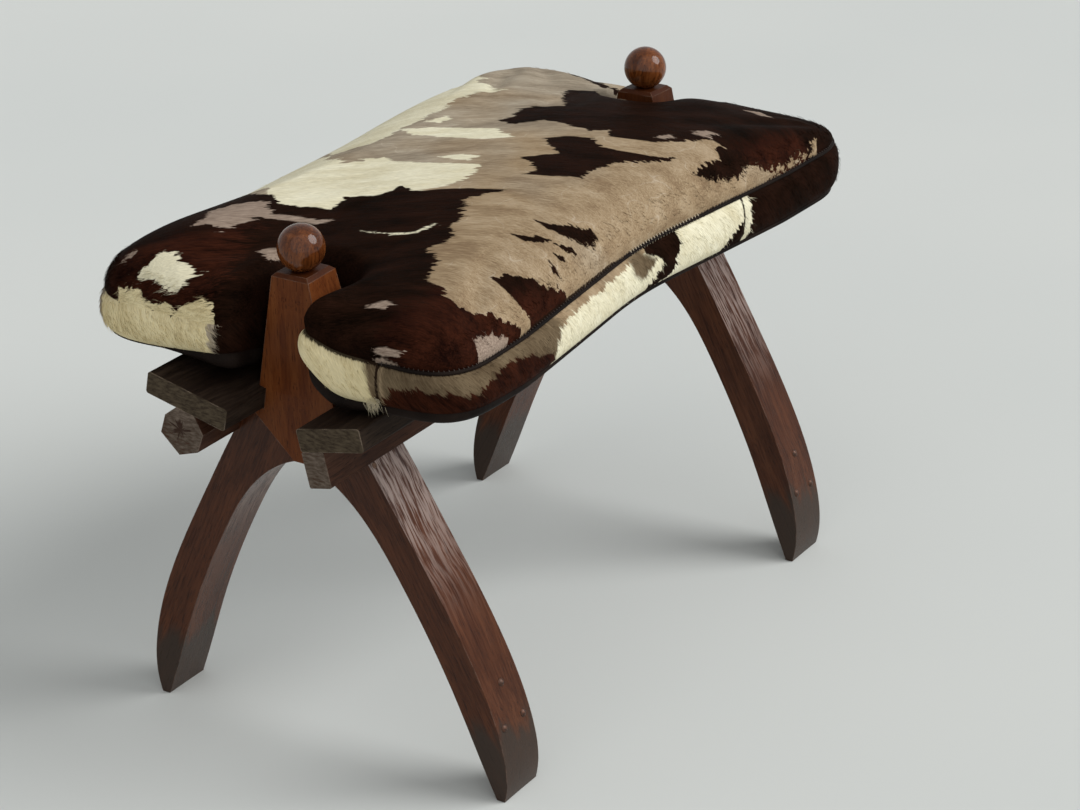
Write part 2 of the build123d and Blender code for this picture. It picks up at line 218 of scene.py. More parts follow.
# Wood: lengths that end in _M are in metres, as its materials read the place in them
GRAIN_SQUEEZE = 0.065
GRAIN_SWAY_M = 0.02
GRAIN_DEPTH_MM = 0.35
GRAIN_STRENGTH = 0.35
GRAIN_WAVES = (9.0, 4.0)
BLOTCH_SHADES = (0.8, 1.2)
ROUGH_REACH = (0.5, 1.0)
PORE_EDGE = (0.58, 0.68)
PORE_SHARE = 0.7
SCUFF_EDGE = (0.40, 0.62)
EDGE_RADIUS_MM = 1.3
EDGE_TURN = (0.01, 0.12)
BEVEL_SAMPLES = 6
# Pale pores with a painted sheen on the legs' outer faces near the top: their tone, heights, fibres and share
PALE_PORE_AND_SHEEN_TONE = (0.34, 0.27, 0.24)
PORE_SHEEN_HEIGHTS_M = (0.15, 0.27)
PORE_SHEEN_FIBRES = (0.43, 0.58)
PORE_SHEEN_SHARE = 0.7
OUTER_TURN = (0.5, 0.8)
TOP_TURN = (0.4, 0.8)
FOOT_HEIGHTS_M = (0.052, 0.078)
FOOT_SWAY_M = 0.035
FOOT_SHARE = 0.85
# Painted shade on the rear post and the darker top faces of the posts: how far the shade reaches and how much
# of each
REAR_SHADE_REACH_M = 0.2
TOP_DARK_AND_REAR_SHADE_SHARES = (0.8, 0.6)
KNOT_PLACE_M = (0.0, 0.081, 0.306)
KNOT_RADII_M = (0.001, 0.0032)
KNOT_RAY_EDGE = (0.4, 0.75)
KNOT_RAYS_M = 0.011
KNOT_SHARE = 0.85
END_PLACE_M = (0.3368, 0.3376)
END_SQUEEZE = 0.3
TONE_PLACES = (0.33, 0.50, 0.68)
END_TONE_PLACES = (0.38, 0.46, 0.62)
PORE_TONE = 0.4
TOP_DARK_AND_REAR_SHADE_TONE = 0.45
WOOD_GLOSS = 0.06

# Noises of the wood: spots to the metre, detail and roughness; the knot's rays read a direction instead
GRAIN_BANDS = (75.0, 3.0, 0.55)
FIBRES = (420.0, 3.0, 0.6)
PORES = (1100.0, 2.0, 0.5)
BLOTCHES = (9.0, 3.0, 0.55)
END_FUZZ = (420.0, 4.0, 0.6)
SCUFFS = (70.0, 4.0, 0.65)
KNOT_RAYS = (3.5, 2.0, 0.5)

# For the nodes with each ending: the wood's name and its grain's direction, its dark, middle and light tone,
# its worn tone and how much it is worn, its roughness, and its coat with the coat's roughness; then the tone
# of its worn foot, which also brings pale pores with a painted sheen on the outer faces near the top, the
# tones of its sawn ends, and whether its top faces are darker and its rear post carries painted shade
WOODS = {
    ("_leg",): {
        "name": "leg_wood", "along": (0, -0.45, 0.9),
        "tones": ((0.030, 0.008, 0.003), (0.064, 0.020, 0.008), (0.104, 0.036, 0.015)),
        "worn": (0.26, 0.16, 0.12), "wear": 0.6, "rough": (0.22, 0.36), "coat": (0.2, 0.22),
        "foot": (0.034, 0.025, 0.019),
    },
    ("_post",): {
        "name": "post_wood", "along": (0, 0, 1),
        "tones": ((0.066, 0.016, 0.005), (0.108, 0.030, 0.008), (0.145, 0.046, 0.013)),
        "worn": (0.28, 0.2, 0.15), "wear": 0.6, "rough": (0.32, 0.46), "coat": (0.04, 0.22), "cap": True,
    },
    ("_finial",): {
        "name": "ball_wood", "along": (0.1, 0.2, 1),
        "tones": ((0.022, 0.005, 0.002), (0.105, 0.029, 0.007), (0.22, 0.070, 0.019)),
        "worn": (0.2, 0.12, 0.09), "wear": 0.5, "rough": (0.12, 0.2), "coat": (0.45, 0.07),
    },
    ("_board",): {
        "name": "board_wood", "along": (1, 0, 0),
        "tones": ((0.007, 0.004, 0.003), (0.020, 0.012, 0.008), (0.045, 0.030, 0.021)),
        "worn": (0.24, 0.185, 0.14), "wear": 1.0, "rough": (0.5, 0.75), "coat": (0.0, 0.22),
        "end": ((0.042, 0.030, 0.019), (0.085, 0.064, 0.041)),
    },
    ("_rail",): {
        "name": "bar_wood", "along": (1, 0, 0),
        "tones": ((0.024, 0.009, 0.005), (0.056, 0.024, 0.014), (0.092, 0.046, 0.030)),
        "worn": (0.25, 0.18, 0.14), "wear": 0.9, "rough": (0.42, 0.6), "coat": (0.0, 0.22),
        "end": ((0.070, 0.050, 0.036), (0.150, 0.115, 0.090)),
    },
    ("_pins", "_dowels"): {
        "name": "pin_wood", "along": (0, 1, 0),
        "tones": ((0.06, 0.03, 0.02), (0.14, 0.08, 0.055), (0.22, 0.14, 0.1)),
        "worn": (0.3, 0.22, 0.17), "wear": 0.5, "rough": (0.5, 0.7), "coat": (0.0, 0.22),
    },
}


def darker(tone, share):
    return tuple(share * c for c in tone)


def wood(name, along, tones, worn, wear, rough, coat, foot=None, end=None, cap=False):
    """Stained wood: growth bands, fibres and pores along one direction, and paler worn edges.

    along is the grain's direction on the left side; it is mirrored for the right one."""
    s = Shader(name)
    x, y, z = s.separate(s.place())
    folded = s.combine(x, s.math("ABSOLUTE", y), z)
    along = Vector(along).normalized()
    across = Vector((1, 0, 0)) if abs(along.x) < 0.9 else Vector((0, 1, 0))
    third = along.cross(across).normalized()
    run, side, rise = (s.vector("DOT_PRODUCT", folded, tuple(axis)) for axis in (along, across, third))
    wobble = s.noise(s.combine(s.times(run, GRAIN_WAVES[0]), s.times(side, GRAIN_WAVES[1]), rise))
    side = s.plus(side, s.times(wobble, GRAIN_SWAY_M))
    squeezed = s.combine(s.times(run, GRAIN_SQUEEZE), side, rise)
    bands, fibres, pores = (s.noise(squeezed, *pattern) for pattern in (GRAIN_BANDS, FIBRES, PORES))
    blotch = s.noise(folded, *BLOTCHES)
    colour = s.ramp(s.total((bands, 0.55), (fibres, 0.45)), TONE_PLACES, tones)
    colour = s.shaded(colour, s.range(blotch, *NOISE_REACH, *BLOTCH_SHADES))
    pore_mask = s.range(pores, *PORE_EDGE, 0.0, PORE_SHARE)
    colour = s.mix(pore_mask, colour, darker(tones[0], PORE_TONE))
    flat = s.node("ShaderNodeNewGeometry").outputs["Normal"]
    if foot:
        low = s.plus(z, s.range(bands, 0, 1, -FOOT_SWAY_M, FOOT_SWAY_M))
        colour = s.mix(s.range(low, *FOOT_HEIGHTS_M, FOOT_SHARE, 0.0, smooth=True), colour, foot)
        # Pale pores and painted sheen: the outer faces turn paler along their fibres towards the top,
        # standing in for the light that they reflect there
        outer = s.range(s.math("ABSOLUTE", s.separate(flat)[1]), *OUTER_TURN)
        pores_and_sheen = s.times(s.range(z, *PORE_SHEEN_HEIGHTS_M, smooth=True), s.range(fibres, *PORE_SHEEN_FIBRES))
        colour = s.mix(s.times(s.times(outer, pores_and_sheen), PORE_SHEEN_SHARE), colour, PALE_PORE_AND_SHEEN_TONE)
    if cap:
        # Darker on faces that point up, and painted shade on the rear post
        top = s.range(s.separate(flat)[2], *TOP_TURN, 0.0, TOP_DARK_AND_REAR_SHADE_SHARES[0])
        rear = s.range(x, 0.0, REAR_SHADE_REACH_M, 0.0, TOP_DARK_AND_REAR_SHADE_SHARES[1])
        colour = s.mix(s.math("MAXIMUM", top, rear), colour, darker(tones[0], TOP_DARK_AND_REAR_SHADE_TONE))
    if end:
        fuzz = s.noise(s.combine(x, s.times(side, END_SQUEEZE), rise), *END_FUZZ)
        raw = s.ramp(s.total((fuzz, 0.6), (blotch, 0.4)), END_TONE_PLACES, (tones[1], *end))
        from_knot = s.vector("SUBTRACT", s.combine(0.0, y, z), KNOT_PLACE_M)
        rays = s.noise(s.vector("NORMALIZE", from_knot), *KNOT_RAYS)
        knot = s.minus(s.vector("LENGTH", from_knot), s.range(rays, *KNOT_RAY_EDGE, 0.0, KNOT_RAYS_M))
        raw = s.mix(s.range(knot, *KNOT_RADII_M, KNOT_SHARE, 0.0), raw, tones[0])
        colour = s.mix(s.range(s.math("ABSOLUTE", x), *END_PLACE_M), colour, raw)
    bevel = s.node("ShaderNodeBevel", samples=BEVEL_SAMPLES)
    bevel.inputs["Radius"].default_value = EDGE_RADIUS_MM * MM
    turned = s.minus(1.0, s.vector("DOT_PRODUCT", bevel.outputs[0], flat))
    scuff = s.range(s.noise(folded, *SCUFFS), *SCUFF_EDGE)
    edge = s.times(s.range(turned, *EDGE_TURN), scuff)
    colour = s.mix(s.times(edge, wear), colour, worn)
    rough_value = s.range(s.plus(fibres, s.times(blotch, 0.5)), *ROUGH_REACH, *rough)
    height = s.total((fibres, 0.7), (pore_mask, -0.7))
    normal = s.bump(height, GRAIN_STRENGTH, GRAIN_DEPTH_MM, bevel.outputs[0])
    return s.finish(colour, rough_value, normal, Coat_Weight=coat[0], Coat_Roughness=coat[1],
                    Specular_IOR_Level=WOOD_GLOSS)


def dress_wood():
    materials = {endings: wood(**look) for endings, look in WOODS.items()}
    for name in nodes:
        for endings, material in materials.items():
            if name.endswith(endings):
                dress(name, material)


# For each kind of nail: its metal's name, its tint and its rust
NAILS = {
    "foot_nails": ("dome_iron", (0.05, 0.028, 0.02), (0.10, 0.045, 0.028)),
    "board_nails": ("nail_steel", (0.30, 0.28, 0.26), (0.16, 0.09, 0.06)),
}
RUST_SPOTS = (700.0, 4.0, 0.6)
RUST_EDGE = (0.45, 0.6)
NAIL_ROUGHNESS = (0.32, 0.6)
NAIL_METALLIC = 0.75
RUST_STRENGTH = 0.3
RUST_DEPTH_MM = 0.2


def dress_nails():
    for node, (name, tint, rust) in NAILS.items():
        s = Shader(name)
        spots = s.noise(s.place(), *RUST_SPOTS)
        colour = s.mix(s.range(spots, *RUST_EDGE), tint, rust)
        rough = s.range(spots, *NOISE_REACH, *NAIL_ROUGHNESS)
        normal = s.bump(spots, RUST_STRENGTH, RUST_DEPTH_MM)
        dress(node, s.finish(colour, rough, normal, Metallic=NAIL_METALLIC))


# Cushion: its plan at the seams, as corners with their radii, from the left side round by the front
PLAN_CORNERS_MM = (
    (0, 184, 700), (-321, 198, 62), (-321, 38, 26), (-233, 33, 16), (-233, -33, 16), (-290, -34, 30),
    (-319, -27, 18), (-319, -183, 62), (-215, -181, 160), (0, -157, 420), (215, -181, 160), (341, -185, 60),
    (341, -32, 28), (238, -32, 16), (238, 32, 16), (341, 34, 30), (341, 200, 62), (215, 196, 200),
)
PLAN_STEP_MM = 4.6
TOP_SEAM_MM = 398.0
BASE_SEAM_MM = 355.0
SHOULDER_RISE_MM = 23.0
SHOULDER_DEPTH_MM = 36.0
NOTCH_SHOULDER_DEPTH_MM = 20.0
CROWN_RISE_MM = 27.0
BAND_BULGE_MM = 5.0
SEAM_TUCK_MM = 3.0
BOARD_TILT = math.radians(12.5)
LEFT_BOARD_MM = (30.5, 82.0)
RIGHT_BOARD_MM = (39.0, 64.0)
BOARD_TOP_MM = 334.5
SEAT_GAP_MM = 0.6
POST_PLACE_MM = 264.0
NOTCH_REACH_MM = 60.0
NOTCH_FADE = (0.7, 1.0)
CORNER_SHARE = 0.49
ARC_STEP_MM = 2
PLAN_SMOOTHINGS = 3
CHUNK = 500
LEAST_SQUARE = 1e-9

# Swellings of the case: how much each rises, its plan place and its widths there
SEAM_TIP_MM = (13, (-302, -33), (30, 26))
BASE_SEAM_SWELLING_MM = (5, (-290, -150), (90, 60))
CROWN_SWELLINGS_MM = ((9, (-245, 130), (60, 60)), (5, (160, 135), (150, 60)), (4, (255, -60), (45, 30)))
# Slopes of the crown: how much each rises, its direction in plan, and where it starts and ends along that
CROWN_SLOPES_MM = ((5, (0, 1), (60, 140)), (-9, (1, 0), (235, 335)), (-3, (-1, 0), (280, 330)))
CROWN_REACH_MM = (352, 212)
CROWN_POWERS = (2.4, 2)
CROWN_NOTCH_FADE = (0.75, 1.3)
REAR_NOTCH_TIGHTER_MM = 7
# The front end's lift of the case's lower edge: its place and width along x, then for the left and the right
# side the lift everywhere, the extra beside the notch, and that extra's place and width along y
FRONT_END_MM = (-321, 60)
FRONT_LIFTS_MM = ((10, 7, 39, 60), (4, 26, -27, 24))


def rounded_plan():
    """The plan's outline: straight runs with an arc at each corner, sampled at an even step."""
    corners = [Vector(c[:2]) for c in PLAN_CORNERS_MM]
    path = []
    for i, (corner, radius) in enumerate(zip(corners, (c[2] for c in PLAN_CORNERS_MM))):
        before, after = corners[i - 1] - corner, corners[(i + 1) % len(corners)] - corner
        half = before.angle(after) / 2
        reach = min(radius / math.tan(half), CORNER_SHARE * before.length, CORNER_SHARE * after.length)
        start, end = corner + before.normalized() * reach, corner + after.normalized() * reach
        count = max(3, int(reach / ARC_STEP_MM))
        for k in range(count + 1):
            t = k / count
            path.append((1 - t) ** 2 * start + 2 * t * (1 - t) * corner + t * t * end)
    points = np.array([tuple(p) for p in path])
    closed = np.vstack([points, points[:1]])
    lengths = np.r_[0, np.cumsum(np.linalg.norm(np.diff(closed, axis=0), axis=1))]
    count = int(round(lengths[-1] / PLAN_STEP_MM))
    at = np.linspace(0, lengths[-1], count, endpoint=False)
    even = np.c_[np.interp(at, lengths, closed[:, 0]), np.interp(at, lengths, closed[:, 1])]
    for _ in range(PLAN_SMOOTHINGS):
        even = even / 2 + (np.roll(even, 1, 0) + np.roll(even, -1, 0)) / 4
    return even


def unit(rows):
    """Rows of numbers as directions of length one."""
    return rows / np.linalg.norm(rows, axis=1)[:, None]


def outward(loop):
    """Unit normals of a closed plan, out of the cushion."""
    run = unit(np.roll(loop, -1, 0) - np.roll(loop, 1, 0))
    normals = np.c_[run[:, 1], -run[:, 0]]
    area = np.sum(loop[:, 0] * np.roll(loop[:, 1], -1) - loop[:, 1] * np.roll(loop[:, 0], -1))
    return normals if area > 0 else -normals


def edge_distance(points, loop):
    """Distance of plan points to the outline."""
    result = np.empty(len(points))
    start, end = loop, np.roll(loop, -1, 0)
    run = end - start
    square = np.maximum((run**2).sum(1), LEAST_SQUARE)
    for i in range(0, len(points), CHUNK):
        p = points[i:i + CHUNK, None, :]
        t = np.clip(((p - start) * run).sum(2) / square, 0, 1)
        result[i:i + CHUNK] = np.linalg.norm(p - (start + t[..., None] * run), axis=2).min(1)
    return result


def inside(points, loop):
    """Whether plan points lie within the outline."""
    x, y = points[:, 0], points[:, 1]
    result = np.zeros(len(points), bool)
    for (x0, y0), (x1, y1) in zip(loop, np.roll(loop, -1, 0)):
        crossing = (y0 > y) != (y1 > y)
        if y0 != y1:
            result ^= crossing & (x < (x1 - x0) * (y - y0) / (y1 - y0) + x0)
    return result


RING_CLEARANCE = 0.97
GRID_CLEARANCE = 0.6
GRID_ROW_STEP = 0.866
MERGE_MM = 1e-4


def fill_plan(loop, inset_rings, spacing):
    """Triangles inside the outline: rings that follow it, then an even hexagonal grid."""
    normals = outward(loop)
    chosen = []
    for inset in inset_rings:
        ring = loop - normals * inset
        keep = (edge_distance(ring, loop) > inset * RING_CLEARANCE) & inside(ring, loop)
        chosen.append(ring[keep])
    rows = np.arange(loop[:, 1].min(), loop[:, 1].max(), spacing * GRID_ROW_STEP)
    columns = np.arange(loop[:, 0].min(), loop[:, 0].max(), spacing)
    grid = np.array([(x + (i % 2) * spacing / 2, y) for i, y in enumerate(rows) for x in columns])
    grid = grid[inside(grid, loop)]
    grid = grid[edge_distance(grid, loop) > inset_rings[-1] + GRID_CLEARANCE * spacing]
    inner = np.vstack([*chosen, grid])
    points = np.vstack([loop, inner])
    made = delaunay_2d_cdt([Vector(p) for p in points], [], [list(range(len(loop)))], 1, MERGE_MM)
    return np.array([tuple(v) for v in made[0]]), [tuple(f) for f in made[2]], made[3]


def smooth_step(value, low, high):
    t = np.clip((value - low) / (high - low), 0, 1)
    return t * t * (3 - 2 * t)


def hump(values, centre, width):
    """One at a place along a line, falling to nothing around it."""
    return np.exp(-(((values - centre) / width) ** 2))


def swelling(points, height, centre, widths):
    """A rise at a plan place, falling to nothing around it."""
    return height * np.exp(-(((points[:, :2] - centre) / widths) ** 2).sum(1))


def seam_height(points):
    """The top seam's height along the outline: it rises at the tip beside the front post."""
    return TOP_SEAM_MM + swelling(points, *SEAM_TIP_MM)


def near_post(points, fade=NOTCH_FADE):
    """One beside either post and falling to nothing away from it."""
    away = np.hypot(np.abs(points[:, 0]) - POST_PLACE_MM, points[:, 1])
    return 1 - smooth_step(away, *(share * NOTCH_REACH_MM for share in fade))


def crown_height(points, distance):
    """The top hide's height before it is inflated: round shoulders at the seam, then a slow crown."""
    tight = SHOULDER_DEPTH_MM - NOTCH_SHOULDER_DEPTH_MM + REAR_NOTCH_TIGHTER_MM * (points[:, 0] > 0)
    depth = np.clip(distance / (SHOULDER_DEPTH_MM - tight * near_post(points, CROWN_NOTCH_FADE)), 0, 1)
    fall = [np.abs(points[:, k] / CROWN_REACH_MM[k]) ** CROWN_POWERS[k] for k in range(2)]
    crown = np.clip(1 - fall[0], 0, 1) * np.clip(1 - fall[1], 0, 1)
    rise = SHOULDER_RISE_MM + CROWN_RISE_MM * crown
    for added, direction, ends in CROWN_SLOPES_MM:
        rise = rise + added * smooth_step(points @ direction, *ends)
    for placed in CROWN_SWELLINGS_MM:
        rise = rise + swelling(points, *placed)
    return seam_height(points) + rise * np.sqrt(1 - (1 - depth) ** 2)


def front_lift(points):
    """How far the case's lower edge is drawn up at the front end, most beside the notch."""
    x, y = points[:, 0], points[:, 1]
    left, right = (low + extra * hump(y, *place) for low, extra, *place in FRONT_LIFTS_MM)
    return hump(x, *FRONT_END_MM) * np.where(y > 0, left, right)


def underside_height(points):
    """The underside follows both boards' tops, is level outside and between them, and lifts at the front."""
    y = points[:, 1]
    result = np.full(len(y), BOARD_TOP_MM + SEAT_GAP_MM)
    for sign, (start, width) in ((1, LEFT_BOARD_MM), (-1, RIGHT_BOARD_MM)):
        across = np.clip(sign * y - start, 0, width * math.cos(BOARD_TILT))
        result = np.maximum(result, BOARD_TOP_MM + SEAT_GAP_MM + across * math.tan(BOARD_TILT))
    return result + front_lift(points)


def base_seam_height(points):
    """The base seam's height along the outline, a little higher round the front right lobe."""
    return BASE_SEAM_MM + front_lift(points) + swelling(points, *BASE_SEAM_SWELLING_MM)


# Cushion mesh
TOP_RINGS_MM = (1.5, 4.0, 8.0, 12.5, 17.5)
BASE_RINGS_MM = (0.8, 2.2, 4.2, 7.0, 10.5, 16.0)
TOP_SPACING_MM = 4.8
BASE_SPACING_MM = 9.0
BAND_ROWS = 8
BASE_INSET_MM = 1.5
NOTCH_BASE_INSET_MM = 2.0
BASE_ROLL_MM = 10.0
NOTCH_FLATNESS = 0.8
BULGE_POWER = 0.8
CLOTH_FRAMES = 20
CLOTH_SETTINGS = {
    "quality": 5, "mass": 0.3, "tension_stiffness": 30, "compression_stiffness": 30, "shear_stiffness": 15,
    "bending_stiffness": 1.5, "use_pressure": True, "uniform_pressure_force": 4.0,
}
MOVE_CAP_MM = 6.0
LEAST_MOVE_MM = 1e-9
NOTCH_HOLD = 0.85
NOTCH_HOLD_ABOVE_MM = 4
END_SEAM_TUCK_MM = 1.6
BASE_SEAM_TUCK_MM = 1.8
COVERED_TUCK = 0.3


def mapped_fill(loop, rings, spacing):
    """The fill's points, its triangles turned upwards, and the place of each outline point in it."""
    points, faces, origin = fill_plan(loop, rings, spacing)
    ring = np.empty(len(loop), int)
    for place, sources in enumerate(origin):
        for source in sources:
            if source < len(loop):
                ring[source] = place
    turned = []
    for a, b, c in faces:
        area = np.cross(points[b] - points[a], points[c] - points[a])
        turned.append((a, b, c) if area > 0 else (a, c, b))
    return points, turned, ring


def cushion_form():
    """The case before it is inflated, with its base seam, band rows and top seam as rows of point numbers.

    Returns the plan, the points, the faces with their kind and place along the plan, the rows, and one for
    each point that is held or nothing for one that is free."""
    loop = rounded_plan()
    out = outward(loop)
    beside = near_post(loop)[:, None]
    base_loop = loop - out * (BASE_INSET_MM + NOTCH_BASE_INSET_MM * beside)
    top, top_faces, top_ring = mapped_fill(loop, TOP_RINGS_MM, TOP_SPACING_MM)
    base, base_faces, base_ring = mapped_fill(base_loop, BASE_RINGS_MM, BASE_SPACING_MM)
    top_z = crown_height(top, edge_distance(top, loop))
    depth = np.clip(edge_distance(base, base_loop) / BASE_ROLL_MM, 0, 1)
    under = underside_height(base)
    roll = 1 - np.sqrt(1 - (1 - depth) ** 2)
    base_z = under + (base_seam_height(base) - under) * roll
    points = [np.c_[top, top_z], np.c_[base, base_z]]
    start = len(top) + len(base)
    low, high = base_loop, loop
    low_z, high_z = base_seam_height(low), seam_height(high)
    for row in range(1, BAND_ROWS + 1):
        share = row / (BAND_ROWS + 1)
        bulge = BAND_BULGE_MM * (1 - NOTCH_FLATNESS * beside) * (4 * share * (1 - share)) ** BULGE_POWER
        plan = low + (high - low) * share + out * bulge
        points.append(np.c_[plan, low_z + (high_z - low_z) * share])
    count = len(loop)
    rows = [base_ring + len(top)]
    rows += [np.arange(count) + start + count * row for row in range(BAND_ROWS)]
    rows.append(top_ring)
    faces = [(face, "top", 0) for face in top_faces]
    faces += [(tuple(v + len(top) for v in reversed(face)), "base", 0) for face in base_faces]
    for lower, upper in zip(rows, rows[1:]):
        for i in range(count):
            k = (i + 1) % count
            faces.append(((lower[i], lower[k], upper[k], upper[i]), "band", i))
    points = np.vstack(points)
    pinned = np.r_[np.zeros(len(top)), np.ones(len(base)), np.zeros(count * BAND_ROWS)]
    pinned[top_ring] = 1
    return loop, points, faces, rows, pinned


def numbers(items, name, width=3):
    """One property of all of a mesh's items, as rows of numbers."""
    values = np.empty(len(items) * width)
    items.foreach_get(name, values)
    return values.reshape(-1, width)


def inflate(points, faces, pinned):
    """Blows the case up a little as cloth, with its seams and its underside held."""
    mesh = bpy.data.meshes.new("inflating")
    mesh.from_pydata([tuple(p * MM) for p in points], [], [face for face, _, _ in faces])
    blown = bpy.data.objects.new("inflating", mesh)
    scene.collection.objects.link(blown)
    group = blown.vertex_groups.new(name="held")
    group.add([int(i) for i in np.flatnonzero(pinned)], 1.0, "REPLACE")
    cloth = blown.modifiers.new("cloth", "CLOTH")
    for name, value in CLOTH_SETTINGS.items():
        setattr(cloth.settings, name, value)
    cloth.settings.vertex_group_mass = group.name
    cloth.settings.effector_weights.gravity = 0
    cloth.point_cache.frame_start = 1
    cloth.point_cache.frame_end = CLOTH_FRAMES
    for number in range(1, CLOTH_FRAMES + 1):
        scene.frame_set(number)
    depsgraph = bpy.context.evaluated_depsgraph_get()
    result = blown.evaluated_get(depsgraph).to_mesh()
    moved = numbers(result.vertices, "co") / MM - points
    scene.frame_set(1)
    bpy.data.objects.remove(blown)
    length = np.linalg.norm(moved, axis=1)
    print("cloth moved up to %.1f mm, mean %.1f mm" % (length.max(), length.mean()))
    low = points[:, 2] < seam_height(points) + NOTCH_HOLD_ABOVE_MM
    cap = MOVE_CAP_MM * (1 - NOTCH_HOLD * near_post(points) * low)
    return points + moved * (np.minimum(length, cap) / np.maximum(length, LEAST_MOVE_MM))[:, None]


# Panels of the case: the rear band lies behind a place along x, and the front band before another one and
# between two places along y
REAR_BAND_START_MM = 146.0
FRONT_BAND_REACH_MM = (-108.0, 96.0)
FRONT_BAND_END_MM = -200


def band_of(spot):
    x, y = spot
    if x > REAR_BAND_START_MM:
        return "cushion_rear_band"
    if x < FRONT_BAND_END_MM and FRONT_BAND_REACH_MM[0] < y < FRONT_BAND_REACH_MM[1]:
        return "cushion_front_band"
    return "cushion_left_band" if y > 0 else "cushion_right_band"


def new_piece(name, points, faces):
    mesh = bpy.data.meshes.new(name)
    mesh.from_pydata([tuple(p * MM) for p in points], [], faces)
    mesh.polygons.foreach_set("use_smooth", [True] * len(mesh.polygons))
    piece = bpy.data.objects.new(name, mesh)
    scene.collection.objects.link(piece)
    return piece


def subdivided(piece):
    """Applies one subdivision to a piece."""
    piece.modifiers.new("finer", "SUBSURF").levels = 1
    depsgraph = bpy.context.evaluated_depsgraph_get()
    finer = bpy.data.meshes.new_from_object(piece.evaluated_get(depsgraph))
    piece.modifiers.clear()
    piece.data = finer


def coordinates(piece):
    return numbers(piece.data.vertices, "co") / MM


def build_cushion():
    loop, points, faces, rows, pinned = cushion_form()
    out = outward(loop)
    points = inflate(points, faces, pinned)
    bands = [band_of((loop[i] + loop[(i + 1) % len(loop)]) / 2) for i in range(len(loop))]
    tuck = SEAM_TUCK_MM * (COVERED_TUCK + (1 - COVERED_TUCK) * open_seam(loop))
    points[rows[-1], :2] -= out * tuck[:, None]
    points[rows[0], :2] -= out * BASE_SEAM_TUCK_MM
    for i in range(len(loop)):
        if bands[i] != bands[i - 1] and open_seam(loop[i:i + 1])[0] > 0.5:
            for row in rows[1:-1]:
                points[row[i], :2] -= out[i] * END_SEAM_TUCK_MM
    panels = {}
    for face, kind, i in faces:
        name = {"top": "cushion_top", "base": "cushion_underside"}.get(kind) or bands[i]
        panels.setdefault(name, []).append(face)
    pieces = {}
    for name, panel_faces in panels.items():
        used = sorted({v for face in panel_faces for v in face})
        place = {v: k for k, v in enumerate(used)}
        chosen = [tuple(place[v] for v in face) for face in panel_faces]
        piece = new_piece(name.replace("cushion_", "hide_"), points[used], chosen)
        if name.endswith("_band"):
            rank = {v: i for row in rows for i, v in enumerate(row)}
            run = piece.data.attributes.new("run", "FLOAT", "POINT")
            run.data.foreach_set("value", band_runs([rank[v] for v in used], len(loop)))
        subdivided(piece)
        pieces[name] = piece
    return loop, pieces


def band_runs(ranks, count):
    """Distance along the outline of a band's points, without a jump where the outline closes."""
    ranks = np.array(ranks, float)
    if ranks.max() - ranks.min() > count / 2:
        ranks[ranks > count / 2] -= count
    return ranks * PLAN_STEP_MM


# Hide pattern: outlines of its patches as pixels of the photograph, 1080 by 810
DARK_TOP_PIXELS = {
    "front": (
        (245, 186), (262, 193), (279, 203), (300, 206), (332, 209), (347, 197), (370, 196), (383, 194),
        (402, 186), (420, 191), (440, 189), (469, 188), (509, 190), (470, 197), (464, 203), (463, 217),
        (452, 225), (455, 235), (441, 243), (426, 248), (438, 258), (430, 273), (430, 282), (444, 288),
        (447, 296), (460, 308), (484, 313), (506, 322), (521, 330), (535, 345), (500, 400), (400, 425),
        (330, 400), (290, 350), (280, 300), (255, 360), (214, 330), (213, 302), (200, 299), (187, 304),
        (176, 311), (165, 299), (154, 310), (146, 300), (137, 290), (128, 287), (118, 288), (110, 297),
        (90, 288), (95, 250), (150, 215),
    ),
    "seam brown": (
        (490, 278), (507, 275), (525, 277), (545, 286), (566, 297), (566, 310), (545, 332), (530, 318),
        (520, 306), (508, 293),
    ),
    "centre": (
        (535, 220), (553, 225), (572, 225), (590, 229), (598, 238), (594, 247), (583, 246), (571, 240),
        (560, 234), (548, 229),
    ),
    "centre thin": ((507, 233), (522, 235), (540, 237), (552, 241), (540, 242), (522, 240)),
    "centre second": ((553, 243), (566, 244), (575, 251), (577, 256), (566, 252)),
    "centre third": ((555, 254), (563, 257), (567, 264), (559, 260)),
    "centre fourth": ((548, 261), (555, 267), (561, 280), (552, 272)),
    "rear": (
        (497, 120), (514, 117), (519, 109), (535, 106), (565, 106), (562, 98), (566, 90), (595, 91),
        (625, 100), (660, 90), (740, 75), (830, 75), (910, 110), (920, 180), (850, 172), (836, 152),
        (826, 152), (816, 140), (810, 146), (814, 154), (803, 158), (784, 167), (768, 172), (757, 166),
        (749, 164),
        (744, 174), (738, 179), (715, 181), (693, 175),
        (699, 166), (720, 160), (715, 149), (722, 146), (712, 140), (690, 141), (655, 142), (630, 139),
        (607, 136), (610, 130), (590, 131), (570, 125), (545, 120), (515, 124),
    ),
    "rear second": (
        (543, 138), (570, 136), (592, 138), (600, 146), (615, 150), (646, 155), (678, 158), (660, 162),
        (625, 162), (600, 168), (578, 177), (550, 176), (518, 174), (540, 170), (530, 162), (518, 157),
        (540, 155), (560, 153), (552, 146),
    ),
    "rear bank": ((560, 60), (590, 70), (618, 84), (640, 100), (615, 96), (598, 82), (575, 70)),
}
